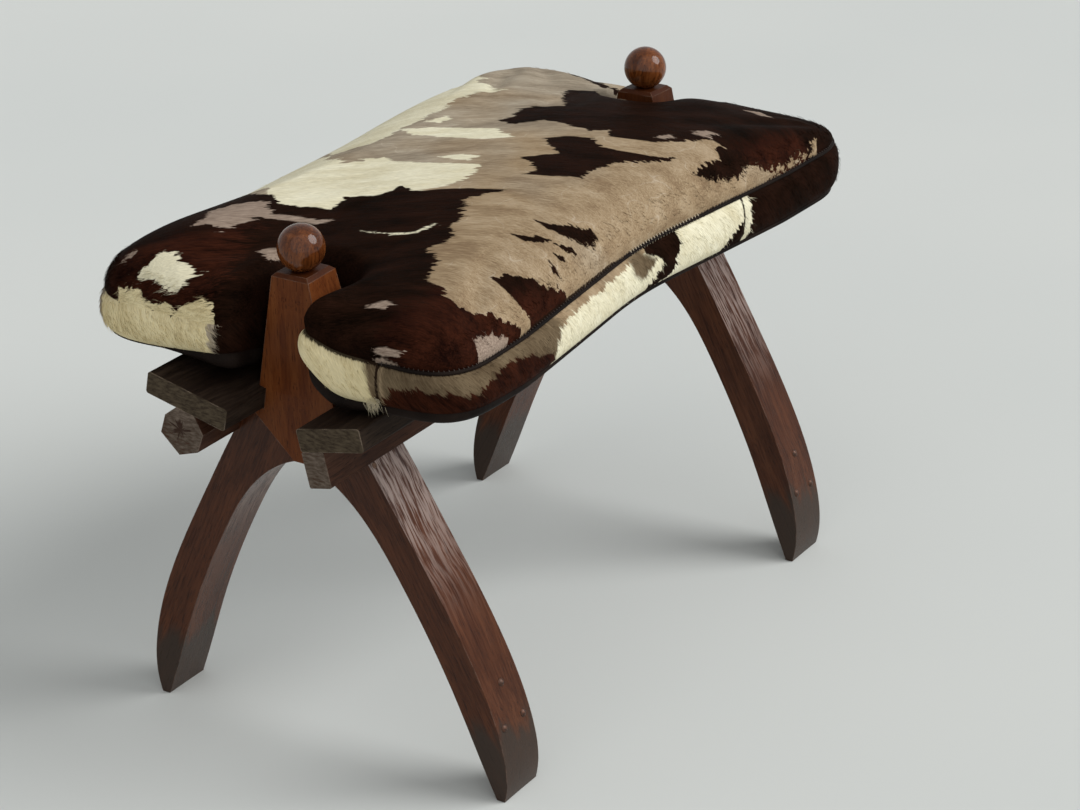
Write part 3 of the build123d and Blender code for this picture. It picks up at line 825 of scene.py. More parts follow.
CREAM_TOP_PIXELS = {
    "front": (
        (240, 184), (300, 150), (345, 132), (322, 158), (345, 164), (385, 160), (430, 163), (480, 164),
        (470, 176), (455, 184), (400, 195), (340, 215), (280, 210),
    ),
    "left edge": ((300, 150), (345, 128), (400, 96), (440, 78), (480, 70), (482, 91), (450, 103),
                  (420, 119), (405, 127), (385, 139), (335, 154)),
    "streak upper": ((385, 100), (440, 90), (490, 84), (500, 90), (465, 98), (420, 104)),
    "streak middle": (
        (395, 130), (425, 127), (460, 128), (495, 128), (513, 137), (480, 139), (440, 137), (410, 135),
    ),
    "streak lower": ((440, 157), (460, 154), (482, 156), (465, 160)),
    "streak small": ((428, 121), (440, 117), (452, 118), (440, 123)),
    "below spot": ((362, 160), (385, 157), (398, 160), (380, 164)),
    "lobe front": (
        (80, 280), (112, 284), (140, 282), (165, 292), (190, 294), (217, 298), (218, 345), (80, 340),
    ),
}
LIGHT_TOP_PIXELS = {
    "lobe streak": ((192, 226), (210, 212), (235, 206), (262, 203), (270, 212), (245, 222), (215, 229)),
    "lobe hair": ((262, 216), (290, 215), (318, 220), (335, 219), (318, 224), (290, 221)),
    "beside ball": ((258, 250), (270, 248), (282, 250), (282, 260), (268, 260)),
    "lobe dash": ((195, 232), (208, 230), (218, 232), (203, 235)),
    "lobe edge": ((122, 258), (132, 250), (138, 252), (130, 260)),
    "pink upper": ((369, 305), (382, 301), (394, 303), (386, 309), (374, 308)),
    "pink lower": ((372, 350), (386, 347), (401, 352), (398, 358), (382, 357)),
    "rear one": ((744, 110), (758, 106), (772, 111), (762, 116)),
    "rear two": ((690, 133), (705, 130), (718, 134), (704, 137)),
    "rear three": ((655, 137), (668, 134), (676, 137), (665, 139)),
    "speckled": ((474, 340), (490, 334), (508, 338), (512, 346), (495, 356), (478, 354)),
}
CREAM_SPOT_AND_HIGHLIGHT_PIXELS = {
    "lobe": (
        (138, 280), (146, 262), (158, 251), (176, 252), (180, 262), (200, 272), (190, 282), (178, 290),
        (160, 282), (150, 278),
    ),
    # A painted highlight: the pale arc of light reflected on the dark hair
    "arc": ((362, 231), (385, 233.5), (415, 231.5), (434, 223.5), (437, 223.5), (418, 232.5), (390, 235)),
}
# Reddish-brown hair within the dark patches, partly painted light: lighter and redder where the light falls
# on the dark hair
REDDISH_AND_PAINTED_LIGHT_TOP_PIXELS = {
    "lower right": ((380, 330), (440, 285), (500, 300), (570, 290), (575, 320), (500, 390), (400, 400)),
    "lobe": ((110, 285), (125, 255), (160, 240), (250, 225), (220, 280), (200, 320), (130, 320)),
    "rear tip": ((740, 150), (790, 130), (850, 140), (850, 175), (760, 180)),
}
CREAM_BAND_PIXELS = {
    "side": (
        (544, 395), (549, 342), (556, 330), (572, 313), (600, 289), (628, 265), (650, 248), (662, 230),
        (760, 170), (760, 262), (640, 350),
    ),
    "rear seam": ((744, 208), (746, 207), (746, 222), (744, 228)),
}
DARK_BAND_PIXELS = {
    "side": (
        (644, 240), (656, 232), (675, 220), (677, 239), (675, 253), (675, 264), (670, 273), (663, 280),
        (659, 284), (652, 295), (647, 297), (648, 284), (654, 278), (656, 273), (659, 264), (659, 258),
        (652, 256), (645, 253),
    ),
    "front": (
        (383, 396), (400, 389), (416, 386), (449, 393), (466, 396), (482, 388), (499, 368), (515, 357),
        (532, 355), (549, 353), (556, 360), (548, 385), (520, 420), (482, 440), (443, 440), (400, 435),
        (379, 430),
    ),
    "rear strip": ((738, 222), (741, 222), (741, 260), (720, 262), (728, 240)),
}
GREY_BAND_PIXELS = {
    "front": (
        (379, 340), (420, 350), (470, 350), (520, 320), (545, 305), (557, 320), (553, 350),
        (545, 400), (480, 440), (383, 430),
    ),
    "tip fold": ((366, 350), (379, 350), (383, 430), (377, 430), (372, 385), (364, 362)),
    "mottled": ((628, 262), (640, 250), (651, 258), (648, 272), (638, 280), (630, 274)),
}
# Patches of the bands' unseen stretches and of their ends, as plan places with a height
DARK_AND_SHADE_BAND_MM = {
    "rear": ((153, -173, 310), (153, -173, 450), (150, 193, 450), (150, 193, 310)),
    # The notch walls: dark hair, with painted shade in the recess beside the post
    "notch": ((-321, 56, 310), (-321, 50, 450), (-290, -34, 450), (-290, -34, 310)),
    "left front": ((-294, 189, 310), (-300, 186, 450), (-235, 194, 450), (-214, 193, 310)),
    "left spot": ((-60, 186, 310), (-75, 187, 378), (-105, 188, 385), (-122, 189, 310)),
}
CREAM_BAND_MM = {
    "left lobe": ((-306, 183, 310), (-306, 183, 402), (-321, 120, 404), (-321, 60, 401), (-321, 52, 310)),
    "right tip": (
        (-292, -33, 310), (-292, -33, 450), (-319, -96, 450), (-319, -98, 400), (-319, -106, 375),
        (-319, -107, 310),
    ),
    "left middle": ((-200, 193, 310), (-180, 192, 450), (60, 187, 450), (40, 186, 310)),
}
# Reddish-brown hair on the front band, partly painted light where the light falls on it
REDDISH_AND_PAINTED_LIGHT_BAND_MM = {"front": ((-319, -50, 250), (-319, -50, 500), (-60, -163, 500), (-60, -163, 250))}

PATTERN_RANGE_MM = 40.0
TOP_PLANE_MM = 430.0
BAND_CHART_HEIGHTS_MM = (320, 440, 3)
HIDDEN_REAR_MM = (200, -150)


class View:
    """The photograph's camera, for placing what is marked by a pixel."""

    def __init__(self, axes):
        self.right, self.up, self.back = (np.array(axis) for axis in axes)
        self.place = np.array(CAMERA_PLACE_MM)

    def ray(self, pixel):
        across = (pixel[0] - FRAME_WIDTH_PIXELS / 2) / FOCAL_PIXELS
        down = (pixel[1] - FRAME_HEIGHT_PIXELS / 2) / FOCAL_PIXELS
        return self.right * across - self.up * down - self.back

    def pixels(self, points):
        away = points - self.place
        depth = -(away @ self.back)
        across = (away @ self.right) / depth * FOCAL_PIXELS + FRAME_WIDTH_PIXELS / 2
        down = -(away @ self.up) / depth * FOCAL_PIXELS + FRAME_HEIGHT_PIXELS / 2
        return np.c_[across, down]


def top_chart(view, piece):
    """A function from a pixel to the plan place of the top hide there."""
    mesh = bmesh.new()
    mesh.from_mesh(piece.data)
    tree = BVHTree.FromBMesh(mesh)
    mesh.free()

    def spot(pixel):
        direction = view.ray(pixel)
        hit = tree.ray_cast(Vector(view.place * MM), Vector(direction))[0]
        if hit:
            return hit.x / MM, hit.y / MM
        reach = (TOP_PLANE_MM - view.place[2]) / direction[2]
        return tuple((view.place + direction * reach)[:2])

    return spot


def band_chart(view, loop):
    """Functions from a pixel and from a plan place to the run along the outline and the height there."""
    out = outward(loop)
    runs, heights, spots = [], [], []
    for i, (spot, normal) in enumerate(zip(loop, out)):
        faces_camera = np.dot(normal, view.place[:2] - spot) > 0
        hidden = spot[0] > HIDDEN_REAR_MM[0] and spot[1] > HIDDEN_REAR_MM[1]
        if faces_camera and not hidden:
            for height in range(*BAND_CHART_HEIGHTS_MM):
                runs.append(i * PLAN_STEP_MM)
                heights.append(height)
                spots.append((*spot, height))
    seen = view.pixels(np.array(spots, float))

    def place(pixel):
        nearest = np.argmin(((seen - pixel) ** 2).sum(1))
        return runs[nearest], heights[nearest]

    def plan_place(spot):
        nearest = np.argmin(((loop - spot[:2]) ** 2).sum(1))
        wraps = nearest > len(loop) / 2 and spot[0] < REAR_BAND_START_MM and spot[1] > 0
        return (nearest - len(loop) * wraps) * PLAN_STEP_MM, spot[2]

    return place, plan_place


def signed_distance(points, outlines):
    """Distance into the nearest of several outlines, negative outside them all."""
    result = np.full(len(points), -PATTERN_RANGE_MM)
    for outline in outlines:
        outline = np.array(outline, float)
        low, high = outline.min(0) - PATTERN_RANGE_MM, outline.max(0) + PATTERN_RANGE_MM
        near = np.flatnonzero(((points > low) & (points < high)).all(1))
        if len(near):
            away = edge_distance(points[near], outline)
            away = np.where(inside(points[near], outline), away, -away)
            result[near] = np.maximum(result[near], np.clip(away, -PATTERN_RANGE_MM, PATTERN_RANGE_MM))
    return result


def mark(piece, name, values):
    attribute = piece.data.attributes.new(name, "FLOAT_VECTOR", "POINT")
    attribute.data.foreach_set("vector", np.ascontiguousarray(values, dtype=np.float32).ravel())


def mark_layer(piece, name, chart, hair, outlines, level=1.0):
    """Stores how deep each point lies in a layer's patches, and how fast that grows along the hair.

    level is how flat the hide lies on the chart: its patches are longer where it is steep."""
    field = signed_distance(chart, outlines)
    further = signed_distance(chart + HAIR_STEP_MM * hair, outlines)
    mark(piece, name, np.c_[field / level, (further - field) / HAIR_STEP_MM, np.zeros(len(field))])


# How the hair lies: the step that measures along it, its slope on the top hide, how much and from where that
# slope curls on the right side, and its angle on the bands
HAIR_STEP_MM = 2.0
HAIR_SLOPE = -0.67
HAIR_CURL = 1.3
HAIR_CURL_START_MM = -80.0
HAIR_CURL_MM = 180.0
# How the top's two plan numbers are scaled so that they measure along and across the slanting hair
FLOW_SCALES = (1.2, 0.83)
BAND_HAIR_ANGLE = math.radians(-50)
BAND_END_WEIGHT = 1.4
STEEPEST_LEVEL = 0.25
# The front left lobe, where hair covers the seams: where that starts and is full, to the left and forwards
COVERED_MM = ((20, 40), (215, 250))
# The dark line above the right seam: how much wider it gets, and where that starts and ends along x
DARK_SEAMS_MM = ((3.5, (-250, -190), (-60, -30)), (2.0, (85, 95), (140, 150)))


def open_seam(points):
    """One where the seams show, and nothing at the front left lobe, where the hair covers them."""
    x, y = points[:, 0], points[:, 1]
    return 1 - smooth_step(y, *COVERED_MM[0]) * smooth_step(-x, *COVERED_MM[1])


def dark_seam(points):
    """How much wider the dark line above the seam is, in mm."""
    x, y = points[:, 0], points[:, 1]
    wider = np.zeros(len(points))
    for extra, start, end in DARK_SEAMS_MM:
        wider += extra * smooth_step(x, *start) * (1 - smooth_step(x, *end))
    return (y < 0) * wider


def mark_top(piece, view, loop):
    points = coordinates(piece)
    to_seam = np.hypot(edge_distance(points[:, :2], loop), points[:, 2] - seam_height(points))
    mark(piece, "seam", np.c_[to_seam, open_seam(points), dark_seam(points)])
    level = np.clip(numbers(piece.data.vertices, "normal")[:, 2], STEEPEST_LEVEL, 1)
    spot = top_chart(view, piece)
    chart = points[:, :2]
    curl = np.maximum(0, HAIR_CURL_START_MM - chart[:, 1])
    drift = HAIR_SLOPE * chart[:, 1] - HAIR_CURL * curl**2 / HAIR_CURL_MM
    slope = HAIR_SLOPE + 2 * HAIR_CURL * curl / HAIR_CURL_MM
    hair = unit(np.c_[slope, np.ones(len(slope))])
    flow = np.c_[chart[:, 1], chart[:, 0] - drift] * FLOW_SCALES
    mark(piece, "flow", np.c_[flow, points[:, 2]])
    layers = {"dark": DARK_TOP_PIXELS, "cream": CREAM_TOP_PIXELS, "light": LIGHT_TOP_PIXELS,
              "spot": CREAM_SPOT_AND_HIGHLIGHT_PIXELS, "rust": REDDISH_AND_PAINTED_LIGHT_TOP_PIXELS, "grey": {}}
    for name, outlines in layers.items():
        mark_layer(piece, name, chart, hair, [[spot(p) for p in o] for o in outlines.values()], level)


def mark_band(piece, places):
    points = coordinates(piece)
    run = numbers(piece.data.attributes["run"].data, "value", 1)[:, 0]
    chart = np.c_[run, points[:, 2]]
    ends = np.minimum(run - run.min(), run.max() - run)
    drop = seam_height(points) - points[:, 2]
    to_seam = np.minimum(ends * BAND_END_WEIGHT, drop)
    mark(piece, "seam", np.c_[to_seam, open_seam(points), np.zeros(len(points))])
    hair = np.array([[math.cos(BAND_HAIR_ANGLE), math.sin(BAND_HAIR_ANGLE)]]).repeat(len(points), 0)
    across = np.c_[-hair[:, 1], hair[:, 0]]
    mark(piece, "flow", np.c_[(chart * hair).sum(1), (chart * across).sum(1), np.zeros(len(points))])
    layers = {"dark": (DARK_BAND_PIXELS, DARK_AND_SHADE_BAND_MM), "cream": (CREAM_BAND_PIXELS, CREAM_BAND_MM),
              "light": ({}, {}), "spot": ({}, {}), "rust": ({}, REDDISH_AND_PAINTED_LIGHT_BAND_MM), "grey": (GREY_BAND_PIXELS, {})}
    for name, kinds in layers.items():
        outlines = [[place(p) for p in o] for place, kind in zip(places, kinds) for o in kind.values()]
        mark_layer(piece, name, chart, hair, outlines)


# The hide's colours, each from dark to light
TAUPE = ((0.22, 0.175, 0.125), (0.32, 0.265, 0.194), (0.42, 0.36, 0.275))
BEIGE = ((0.215, 0.145, 0.085), (0.31, 0.225, 0.135), (0.40, 0.305, 0.20))
GREY = ((0.075, 0.050, 0.028), (0.17, 0.125, 0.075))
SEAM_SHADE = (0.016, 0.008, 0.005)
CREAM = ((0.62, 0.56, 0.38), (0.80, 0.76, 0.58))
YELLOWED = (1.0, 0.92, 0.76)
CREASE = (0.55, 0.47, 0.37)
DARK = ((0.004, 0.002, 0.001), (0.018, 0.007, 0.004))
# The reddish tone of the dark hair is partly painted light, lighter where the light falls
REDDISH_HAIR_AND_PAINTED_LIGHT = ((0.009, 0.003, 0.002), (0.042, 0.012, 0.006))
PINK = ((0.20, 0.145, 0.11), (0.36, 0.28, 0.22))
HAIR_TONE_PLACES = (0.36, 0.50, 0.64)
HAIR_TONES = (0.35, 0.65)

# Length and width of the tongues, hairs, fine hairs and clumps of hair
STREAKS_MM = ((26, 4.5), (12, 1.3), (6, 0.5), (60, 18))
STREAK_ROUGHNESS = 0.55
# Each layer's ragged edges: how far tongues and hairs push them along the hair, and how soft they are
RAGGED_MM = {
    "dark": (11.0, 5.0, 0.9), "cream": (11.0, 5.0, 0.9), "light": (10.0, 8.0, 1.2), "spot": (12.0, 8.0, 1.2),
    "rust": (30.0, 30.0, 14.0), "grey": (9.0, 8.0, 3.5),
}
FRAY_MM = 1.6
WANDER_MM = 11.0
WANDERS = (24.0, 4.0, 0.6)
HIDDEN_SIDE_M = (0.05, 0.14)
WARM_SCALE = 7.0
WARM_FALL = -1.2
WARM_EDGE = (0.40, 0.60)
CREASE_SCALE = 16.0
CREASE_WIDTH = 0.006
CREASE_SHARE = 0.4
CREASED_CLUMPS = (0.45, 0.6)
REDDISH_AND_PAINTED_LIGHT_EDGES = (0.5, 0.8)
YELLOWED_M = (-0.31, -0.22)
GROOVE_WAVER_MM = 1.2
GROOVE_MM = (1.2, 2.2)
GROOVE_SHARE = 0.95
FINE_SHADES = (0.82, 1.12)
HIDE_STRENGTH = 0.6
HIDE_DEPTH_MM = 0.8
HIDE_ROUGHNESS = (0.45, 0.62)
HIDE_GLOSS = 0.006


def hide_material():
    """Short hair in patches, whose depths and edges are read from the layers that are marked on the mesh."""
    s = Shader("cowhide")
    along, across, rise = s.attribute("flow")

    def streak(length, width):
        parts = ((along, length), (across, width), (rise, width))
        place = s.combine(*(s.math("DIVIDE", part, size) for part, size in parts))
        return s.noise(place, roughness=STREAK_ROUGHNESS)

    tongues, hairs, fine, clumps = (streak(*size) for size in STREAKS_MM)
    x, y, _ = s.separate(s.place())
    # The outlines on the side away from the camera are rough, so they waver there
    wander = s.range(s.noise(s.place(), *WANDERS), *NOISE_REACH, -1.0, 1.0)
    wander = s.times(wander, s.range(y, *HIDDEN_SIDE_M, 0.0, WANDER_MM))

    def mask(layer):
        tongue, hair, softness = RAGGED_MM[layer]
        depth, slope, _ = s.attribute(layer)
        push = s.plus(s.range(tongues, 0, 1, -tongue, tongue), s.range(hairs, 0, 1, -hair, hair))
        edge = s.plus(depth, s.times(slope, push))
        edge = s.plus(s.plus(edge, wander), s.range(hairs, 0, 1, -FRAY_MM, FRAY_MM))
        return s.range(edge, -softness, softness, smooth=True)

    tone = s.total((hairs, 0.45), (clumps, 0.55))
    evened = s.range(tone, *HAIR_TONES)
    taupe, beige = (s.ramp(tone, HAIR_TONE_PLACES, tones) for tones in (TAUPE, BEIGE))
    warm = s.plus(s.noise(s.place(), WARM_SCALE), s.times(y, WARM_FALL))
    colour = s.mix(s.range(warm, *WARM_EDGE), taupe, beige)
    crease = s.math("ABSOLUTE", s.minus(s.noise(s.place(), CREASE_SCALE), 0.5))
    crease = s.times(s.range(crease, 0.0, CREASE_WIDTH, CREASE_SHARE, 0.0), s.range(clumps, *CREASED_CLUMPS))
    colour = s.mix(crease, colour, CREASE)
    cream = s.mix(s.range(x, *YELLOWED_M, 1.0, 0.0), s.mix(evened, *CREAM), YELLOWED, blend="MULTIPLY")
    colour = s.mix(mask("cream"), colour, cream)
    colour = s.mix(mask("grey"), colour, s.mix(evened, *GREY))
    # Reddish-brown hair in the dark patches, partly painted light where the light falls on them
    rust = s.mix(s.range(s.plus(tone, s.times(tongues, 0.3)), *REDDISH_AND_PAINTED_LIGHT_EDGES), *REDDISH_HAIR_AND_PAINTED_LIGHT)
    dark = s.mix(mask("rust"), s.mix(evened, *DARK), rust)
    colour = s.mix(mask("dark"), colour, dark)
    colour = s.mix(mask("light"), colour, s.mix(s.range(hairs, *NOISE_REACH), *PINK))
    # Cream spots, and the painted highlight of the pale arc on the dark hair
    colour = s.mix(mask("spot"), colour, s.mix(tone, *CREAM))
    from_seam, opened, wider = s.attribute("seam")
    waver = s.range(hairs, 0, 1, -GROOVE_WAVER_MM, GROOVE_WAVER_MM)
    groove = s.minus(s.plus(from_seam, waver), wider)
    groove = s.times(s.range(groove, *GROOVE_MM, GROOVE_SHARE, 0.0, smooth=True), opened)
    colour = s.mix(groove, colour, SEAM_SHADE)
    colour = s.shaded(colour, s.range(fine, *NOISE_REACH, *FINE_SHADES))
    height = s.total((hairs, 0.6), (fine, 0.5), (tongues, 0.8))
    normal = s.bump(height, HIDE_STRENGTH, HIDE_DEPTH_MM)
    rough = s.range(hairs, *NOISE_REACH, *HIDE_ROUGHNESS)
    return s.finish(colour, rough, normal, Specular_IOR_Level=HIDE_GLOSS)


LEATHER_GRAIN = (900.0, 3.0, 0.55)
LEATHER_BLOTCHES = (25.0, 4.0, 0.6)
LEATHER_TONE_PLACES = (0.35, 0.65)
# Dark leather with painted shade: its tones are darkened to near black, so that the underside reads as the
# shadow under the cushion
LEATHER_AND_SHADE_TONES = ((0.004, 0.0025, 0.002), (0.014, 0.009, 0.007))
LEATHER_ROUGHNESS = (0.5, 0.7)
LEATHER_GLOSS = 0.05
LEATHER_STRENGTH = 0.4
LEATHER_DEPTH_MM = 0.4


def shaded_leather_material():
    s = Shader("underside_leather")
    grain, blotch = (s.noise(s.place(), *pattern) for pattern in (LEATHER_GRAIN, LEATHER_BLOTCHES))
    colour = s.ramp(blotch, LEATHER_TONE_PLACES, LEATHER_AND_SHADE_TONES)
    rough = s.range(blotch, *NOISE_REACH, *LEATHER_ROUGHNESS)
    normal = s.bump(s.plus(grain, s.times(blotch, 2.0)), LEATHER_STRENGTH, LEATHER_DEPTH_MM)
    return s.finish(colour, rough, normal, Specular_IOR_Level=LEATHER_GLOSS)


# The seam's welt and its stitches
WELT_RADIUS_MM = 1.7
WELT_OUT_MM = 1.2
WELT_SIDES = 8
WELT_GAP_MM = (300.0, 790.0)
WELT_END_SHARE = 0.3
WELT_TAPER_STEPS = 5
STITCH_STEP_MM = 4.3
STITCH_RADIUS_MM = 0.65
STITCH_SLANT_MM = 1.6
STITCH_OUT_MM = 1.0
STITCH_SIDES = 6
STITCH_PATH_MM = ((-1.0, 4.6), (0.9, 3.2), (2.2, -0.2), (1.9, -3.4))
STITCH_THICKNESS = (0.6, 1, 1, 0.6)
PALE_STITCHES_MM = (1140.0, 1246.0)
PALE_STITCH_SIZE = 0.75
DARK_STITCH_SIZE = 0.6
THREADS = {
    "pale_thread": (0.46, 0.39, 0.28),
    "dark_thread": (0.03, 0.018, 0.012),
    "tuft_hair": (0.66, 0.58, 0.40),
}
TWIST_SCALE = 1500.0
TWIST_SHADES = (0.7, 1.15)
THREAD_ROUGHNESS = (0.55, 0.75)
THREAD_STRENGTH = 0.4
THREAD_DEPTH_MM = 0.2


def tube(path, radii, sides, start=0):
    """Points and faces of a tube along a path, closed at both ends."""
    path = np.array(path)
    run = unit(np.gradient(path, axis=0))
    side = unit(np.cross(run, (0.0, 0.0, 1.0)))
    rise = np.cross(side, run)
    angles = np.arange(sides) * 2 * math.pi / sides
    points = []
    for centre, radius, a, b in zip(path, radii, side, rise):
        points += [centre + radius * (a * math.cos(t) + b * math.sin(t)) for t in angles]
    faces = []
    for i in range(len(path) - 1):
        for k in range(sides):
            m = (k + 1) % sides
            ring = start + i * sides
            faces.append((ring + k, ring + m, ring + m + sides, ring + k + sides))
    faces.append(tuple(start + k for k in reversed(range(sides))))
    faces.append(tuple(start + (len(path) - 1) * sides + k for k in range(sides)))
    return points, faces


def seam_frame(loop):
    """The top seam as sewn: its points with their heights, and the outward directions."""
    out = outward(loop)
    return np.c_[loop - out * SEAM_TUCK_MM, seam_height(loop)], np.c_[out, np.zeros(len(out))]


def add_welt(loop):
    seam, out = seam_frame(loop)
    first = int(WELT_GAP_MM[1] / PLAN_STEP_MM)
    last = int(WELT_GAP_MM[0] / PLAN_STEP_MM) + len(loop)
    places = np.arange(first, last) % len(loop)
    path = seam[places] + WELT_OUT_MM * out[places]
    ends = np.minimum(np.arange(len(path)), np.arange(len(path))[::-1])
    radii = WELT_RADIUS_MM * np.clip(WELT_END_SHARE + ends / WELT_TAPER_STEPS, 0, 1)
    return new_piece("hide_welt", *tube(path, radii, WELT_SIDES))


def add_stitches(loop, name, start, end, size):
    """Slanting stitches across the top seam, from one run along the outline to another."""
    seam, out = seam_frame(loop)
    points, faces = [], []
    for at in np.arange(start, end, STITCH_STEP_MM):
        place = at / PLAN_STEP_MM
        low, share = int(place) % len(loop), place % 1
        high = (low + 1) % len(loop)
        centre = seam[low] * (1 - share) + seam[high] * share
        along = seam[high] - seam[low]
        along /= np.linalg.norm(along)
        slants = np.linspace(-0.5, 0.5, len(STITCH_PATH_MM)) * STITCH_SLANT_MM
        path = [centre + size * (out[low] * (reach + STITCH_OUT_MM) + along * slant + np.array((0, 0, rise)))
                for (reach, rise), slant in zip(STITCH_PATH_MM, slants)]
        radii = [STITCH_RADIUS_MM * size * share for share in STITCH_THICKNESS]
        made = tube(path, radii, STITCH_SIDES, len(points))
        points += made[0]
        faces += made[1]
    return new_piece(name, points, faces)


def thread_material(name):
    s = Shader(name)
    twist = s.noise(s.place(), TWIST_SCALE)
    colour = s.mix(twist, *(darker(THREADS[name], share) for share in TWIST_SHADES))
    rough = s.range(twist, *NOISE_REACH, *THREAD_ROUGHNESS)
    return s.finish(colour, rough, s.bump(twist, THREAD_STRENGTH, THREAD_DEPTH_MM))


def dress_loose(piece, material):
    """Dresses a piece that stands for no CAD node and moves with the cushion."""
    piece.data.materials.append(material)
    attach(piece, "cushion")


def add_trim(loop, leather):
    pale, dark = thread_material("pale_thread"), thread_material("dark_thread")
    dress_loose(add_welt(loop), leather)
    last = WELT_GAP_MM[0] + len(loop) * PLAN_STEP_MM
    stitches = (
        ("seam_stitches_pale", PALE_STITCHES_MM, PALE_STITCH_SIZE, pale),
        ("seam_stitches_front", (WELT_GAP_MM[1], PALE_STITCHES_MM[0]), DARK_STITCH_SIZE, dark),
        ("seam_stitches_rear", (PALE_STITCHES_MM[1], last), DARK_STITCH_SIZE, dark),
    )
    for name, ends, size, thread in stitches:
        dress_loose(add_stitches(loop, name, *ends, size), thread)


# Loose hairs, so that the hide's outline is furry
HAIR_SEED = 7
HAIR_DENSITY = 0.042
HAIR_EDGE_MM = 16.0
HAIR_LENGTH_MM = (4.0, 8.5)
HAIR_RADIUS_MM = 0.22
HAIR_STEPS = (0.0, 0.35, 0.7, 1.0)
HAIR_LIFT_MM = 6.0
HAIR_NOTCH_FADE = (0.9, 1.4)
COVERING_DENSITY = 3
HAIR_SIDES = 3
HAIR_TAPER = 0.93
HAIR_SPREAD = 0.25
HAIR_LEANS = (0.1, 0.5)
TUFT_PLACE_MM = (-321.5, -104.0, 366.0)
TUFT_SPREAD_MM = (0.4, 4.0, 3.0)
TUFT_HAIRS = 90
TUFT_FLOW = (0, -0.5, -1)
TUFT_FLOW_SPREAD = 0.3
TUFT_LENGTH_MM = (4, 9)
TUFT_LEAN = 0.25


def hair_roots(piece, name, loop, generator):
    """Roots, normals, hair directions and mesh points for the loose hairs of one panel."""
    mesh = piece.data
    count = len(mesh.polygons)
    centres, normals = numbers(mesh.polygons, "center") / MM, numbers(mesh.polygons, "normal")
    weights = numbers(mesh.polygons, "area", 1)[:, 0] / MM**2
    if name == "cushion_top":
        weights *= edge_distance(centres[:, :2], loop) < HAIR_EDGE_MM
        flow = np.tile((HAIR_SLOPE, 1.0, 0.0), (count, 1))
    else:
        nearest = np.argmin(((centres[:, None, :2] - loop[None]) ** 2).sum(2), axis=1)
        run = unit(np.roll(loop, -2, 0) - np.roll(loop, 2, 0))[nearest]
        flow = np.c_[run * math.cos(BAND_HAIR_ANGLE), np.full(count, math.sin(BAND_HAIR_ANGLE))]
        weights *= centres[:, 2] > base_seam_height(centres) + HAIR_LIFT_MM
    away = near_post(centres, HAIR_NOTCH_FADE) < 0.5
    weights *= away * (1 + COVERING_DENSITY * (1 - open_seam(centres)))
    chosen = generator.choice(count, int(weights.sum() * HAIR_DENSITY), p=weights / weights.sum())
    starts = np.array([polygon.vertices[0] for polygon in mesh.polygons])[chosen]
    return centres[chosen], normals[chosen], flow[chosen], starts


def hair_mesh(roots, normals, flow, lengths, lean):
    """Points and faces of thin tapering hairs that leave the hide and lie over again."""
    flow = unit(flow - normals * (flow * normals).sum(1)[:, None])
    side = np.cross(flow, normals)
    points = np.empty((len(roots), len(HAIR_STEPS), HAIR_SIDES, 3))
    for i, t in enumerate(HAIR_STEPS):
        middle = roots + lengths[:, None] * (t * flow + (lean * t * (1 - 0.5 * t))[:, None] * normals)
        reach = HAIR_RADIUS_MM * (1 - HAIR_TAPER * t)
        for k in range(HAIR_SIDES):
            angle = 2 * math.pi * k / HAIR_SIDES
            points[:, i, k] = middle + reach * (math.cos(angle) * side + math.sin(angle) * normals)
    faces = []
    for hair in range(len(roots)):
        for ring in range(len(HAIR_STEPS) - 1):
            low = (hair * len(HAIR_STEPS) + ring) * HAIR_SIDES
            for k in range(HAIR_SIDES):
                after = low + (k + 1) % HAIR_SIDES
                faces.append((low + k, after, after + HAIR_SIDES, low + HAIR_SIDES + k))
    return points.reshape(-1, 3), faces


def add_hairs(loop, pieces, hide):
    generator = np.random.default_rng(HAIR_SEED)
    names = ("flow", "seam", *RAGGED_MM)
    found, values = [], {name: [] for name in names}
    for name, piece in pieces.items():
        if name != "cushion_underside":
            roots, normals, flow, starts = hair_roots(piece, name, loop, generator)
            found.append((roots, normals, flow))
            for attribute in names:
                marked = numbers(piece.data.attributes[attribute].data, "vector")
                values[attribute].append(marked[starts])
    roots, normals, flow = (np.vstack(parts) for parts in zip(*found))
    flow = flow + generator.normal(0, HAIR_SPREAD, flow.shape)
    lengths = generator.uniform(*HAIR_LENGTH_MM, len(roots))
    lean = generator.uniform(*HAIR_LEANS, len(roots))
    piece = new_piece("hide_hairs", *hair_mesh(roots, normals, flow, lengths, lean))
    for attribute in names:
        mark(piece, attribute, np.vstack(values[attribute]).repeat(len(HAIR_STEPS) * HAIR_SIDES, 0))
    dress_loose(piece, hide)


def add_tuft():
    """The tuft of cream hair at the foot of the front band's right seam."""
    generator = np.random.default_rng(HAIR_SEED)
    roots = np.array(TUFT_PLACE_MM) + generator.normal(0, 1, (TUFT_HAIRS, 3)) * TUFT_SPREAD_MM
    normals = np.tile((-1.0, 0.0, 0.0), (TUFT_HAIRS, 1))
    flow = generator.normal(0, TUFT_FLOW_SPREAD, (TUFT_HAIRS, 3)) + TUFT_FLOW
    lengths = generator.uniform(*TUFT_LENGTH_MM, TUFT_HAIRS)
    leans = np.full(TUFT_HAIRS, TUFT_LEAN)
    piece = new_piece("hide_tuft", *hair_mesh(roots, normals, flow, lengths, leans))
    dress_loose(piece, thread_material("tuft_hair"))


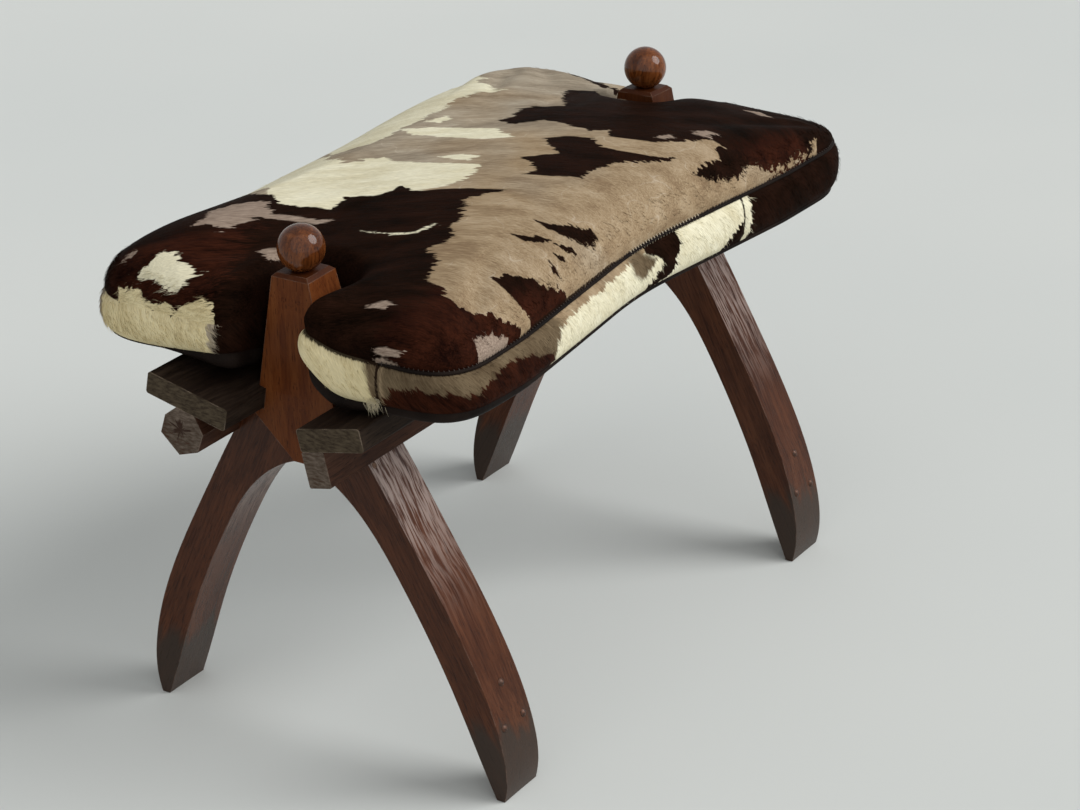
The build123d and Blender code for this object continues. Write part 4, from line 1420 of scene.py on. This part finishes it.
def add_cushion(view):
    loop, pieces = build_cushion()
    hide, leather = hide_material(), shaded_leather_material()
    places = band_chart(view, loop)
    for name, piece in pieces.items():
        if name == "cushion_top":
            mark_top(piece, view, loop)
            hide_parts("cushion_top_hide", "cushion_filling")
        elif name == "cushion_underside":
            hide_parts("cushion_base")
        else:
            mark_band(piece, places)
            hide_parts(name)
        under = name == "cushion_underside"
        piece.data.materials.append(leather if under else hide)
        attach(piece, "cushion")
    add_trim(loop, leather)
    add_hairs(loop, pieces, hide)
    add_tuft()


# Studio
FLOOR_RADIUS_M = 8.0
FLOOR_DROP_M = 0.0003
FLOOR_SIDES = 96
FLOOR_SPOTS = 1.2
FLOOR_TONE_PLACES = (0.3, 0.7)
FLOOR_TONES = ((0.60, 0.62, 0.60), (0.63, 0.645, 0.62))
FLOOR_ROUGHNESS = 0.75
WORLD_COLOUR = (0.97, 0.99, 1.0, 1)
# Each lamp's strength, its width in degrees, and the direction that it comes from
LAMPS = {
    "key": (2.5, 40, (0.42, -0.78, 0.66)),
    "fill": (0.9, 100, (-0.75, -0.6, 0.6)),
}
WORLD_LIGHT = 0.38
BACKDROP_LIGHT = 0.60


def add_studio():
    mesh = bmesh.new()
    bmesh.ops.create_circle(mesh, cap_ends=True, radius=FLOOR_RADIUS_M, segments=FLOOR_SIDES)
    data = bpy.data.meshes.new("floor")
    mesh.to_mesh(data)
    mesh.free()
    floor = bpy.data.objects.new("floor", data)
    floor.location.z = -FLOOR_DROP_M
    scene.collection.objects.link(floor)
    s = Shader("pale_floor")
    colour = s.ramp(s.noise(s.place(), FLOOR_SPOTS), FLOOR_TONE_PLACES, FLOOR_TONES)
    data.materials.append(s.finish(colour, FLOOR_ROUGHNESS))
    world = bpy.data.worlds.new("studio")
    world.use_nodes = True
    tree = world.node_tree
    background = tree.nodes["Background"]
    background.inputs["Color"].default_value = WORLD_COLOUR
    strength = tree.nodes.new("ShaderNodeMapRange")
    strength.inputs["To Min"].default_value = WORLD_LIGHT
    strength.inputs["To Max"].default_value = BACKDROP_LIGHT
    path = tree.nodes.new("ShaderNodeLightPath")
    seen = path.outputs["Is Camera Ray"]
    for kind in ("Is Glossy Ray", "Is Transmission Ray"):
        either = tree.nodes.new("ShaderNodeMath")
        either.operation = "MAXIMUM"
        tree.links.new(seen, either.inputs[0])
        tree.links.new(path.outputs[kind], either.inputs[1])
        seen = either.outputs[0]
    tree.links.new(seen, strength.inputs["Value"])
    tree.links.new(strength.outputs[0], background.inputs["Strength"])
    scene.world = world
    for name, (power, width, direction) in LAMPS.items():
        data = bpy.data.lights.new(name, "SUN")
        data.energy = power
        data.angle = math.radians(width)
        lamp = bpy.data.objects.new(name, data)
        lamp.rotation_euler = Vector(direction).to_track_quat("Z", "Y").to_euler()
        scene.collection.objects.link(lamp)


scene.view_settings.view_transform = "Standard"
axes = add_camera()
add_studio()
dress_wood()
dress_nails()
add_cushion(View(axes))
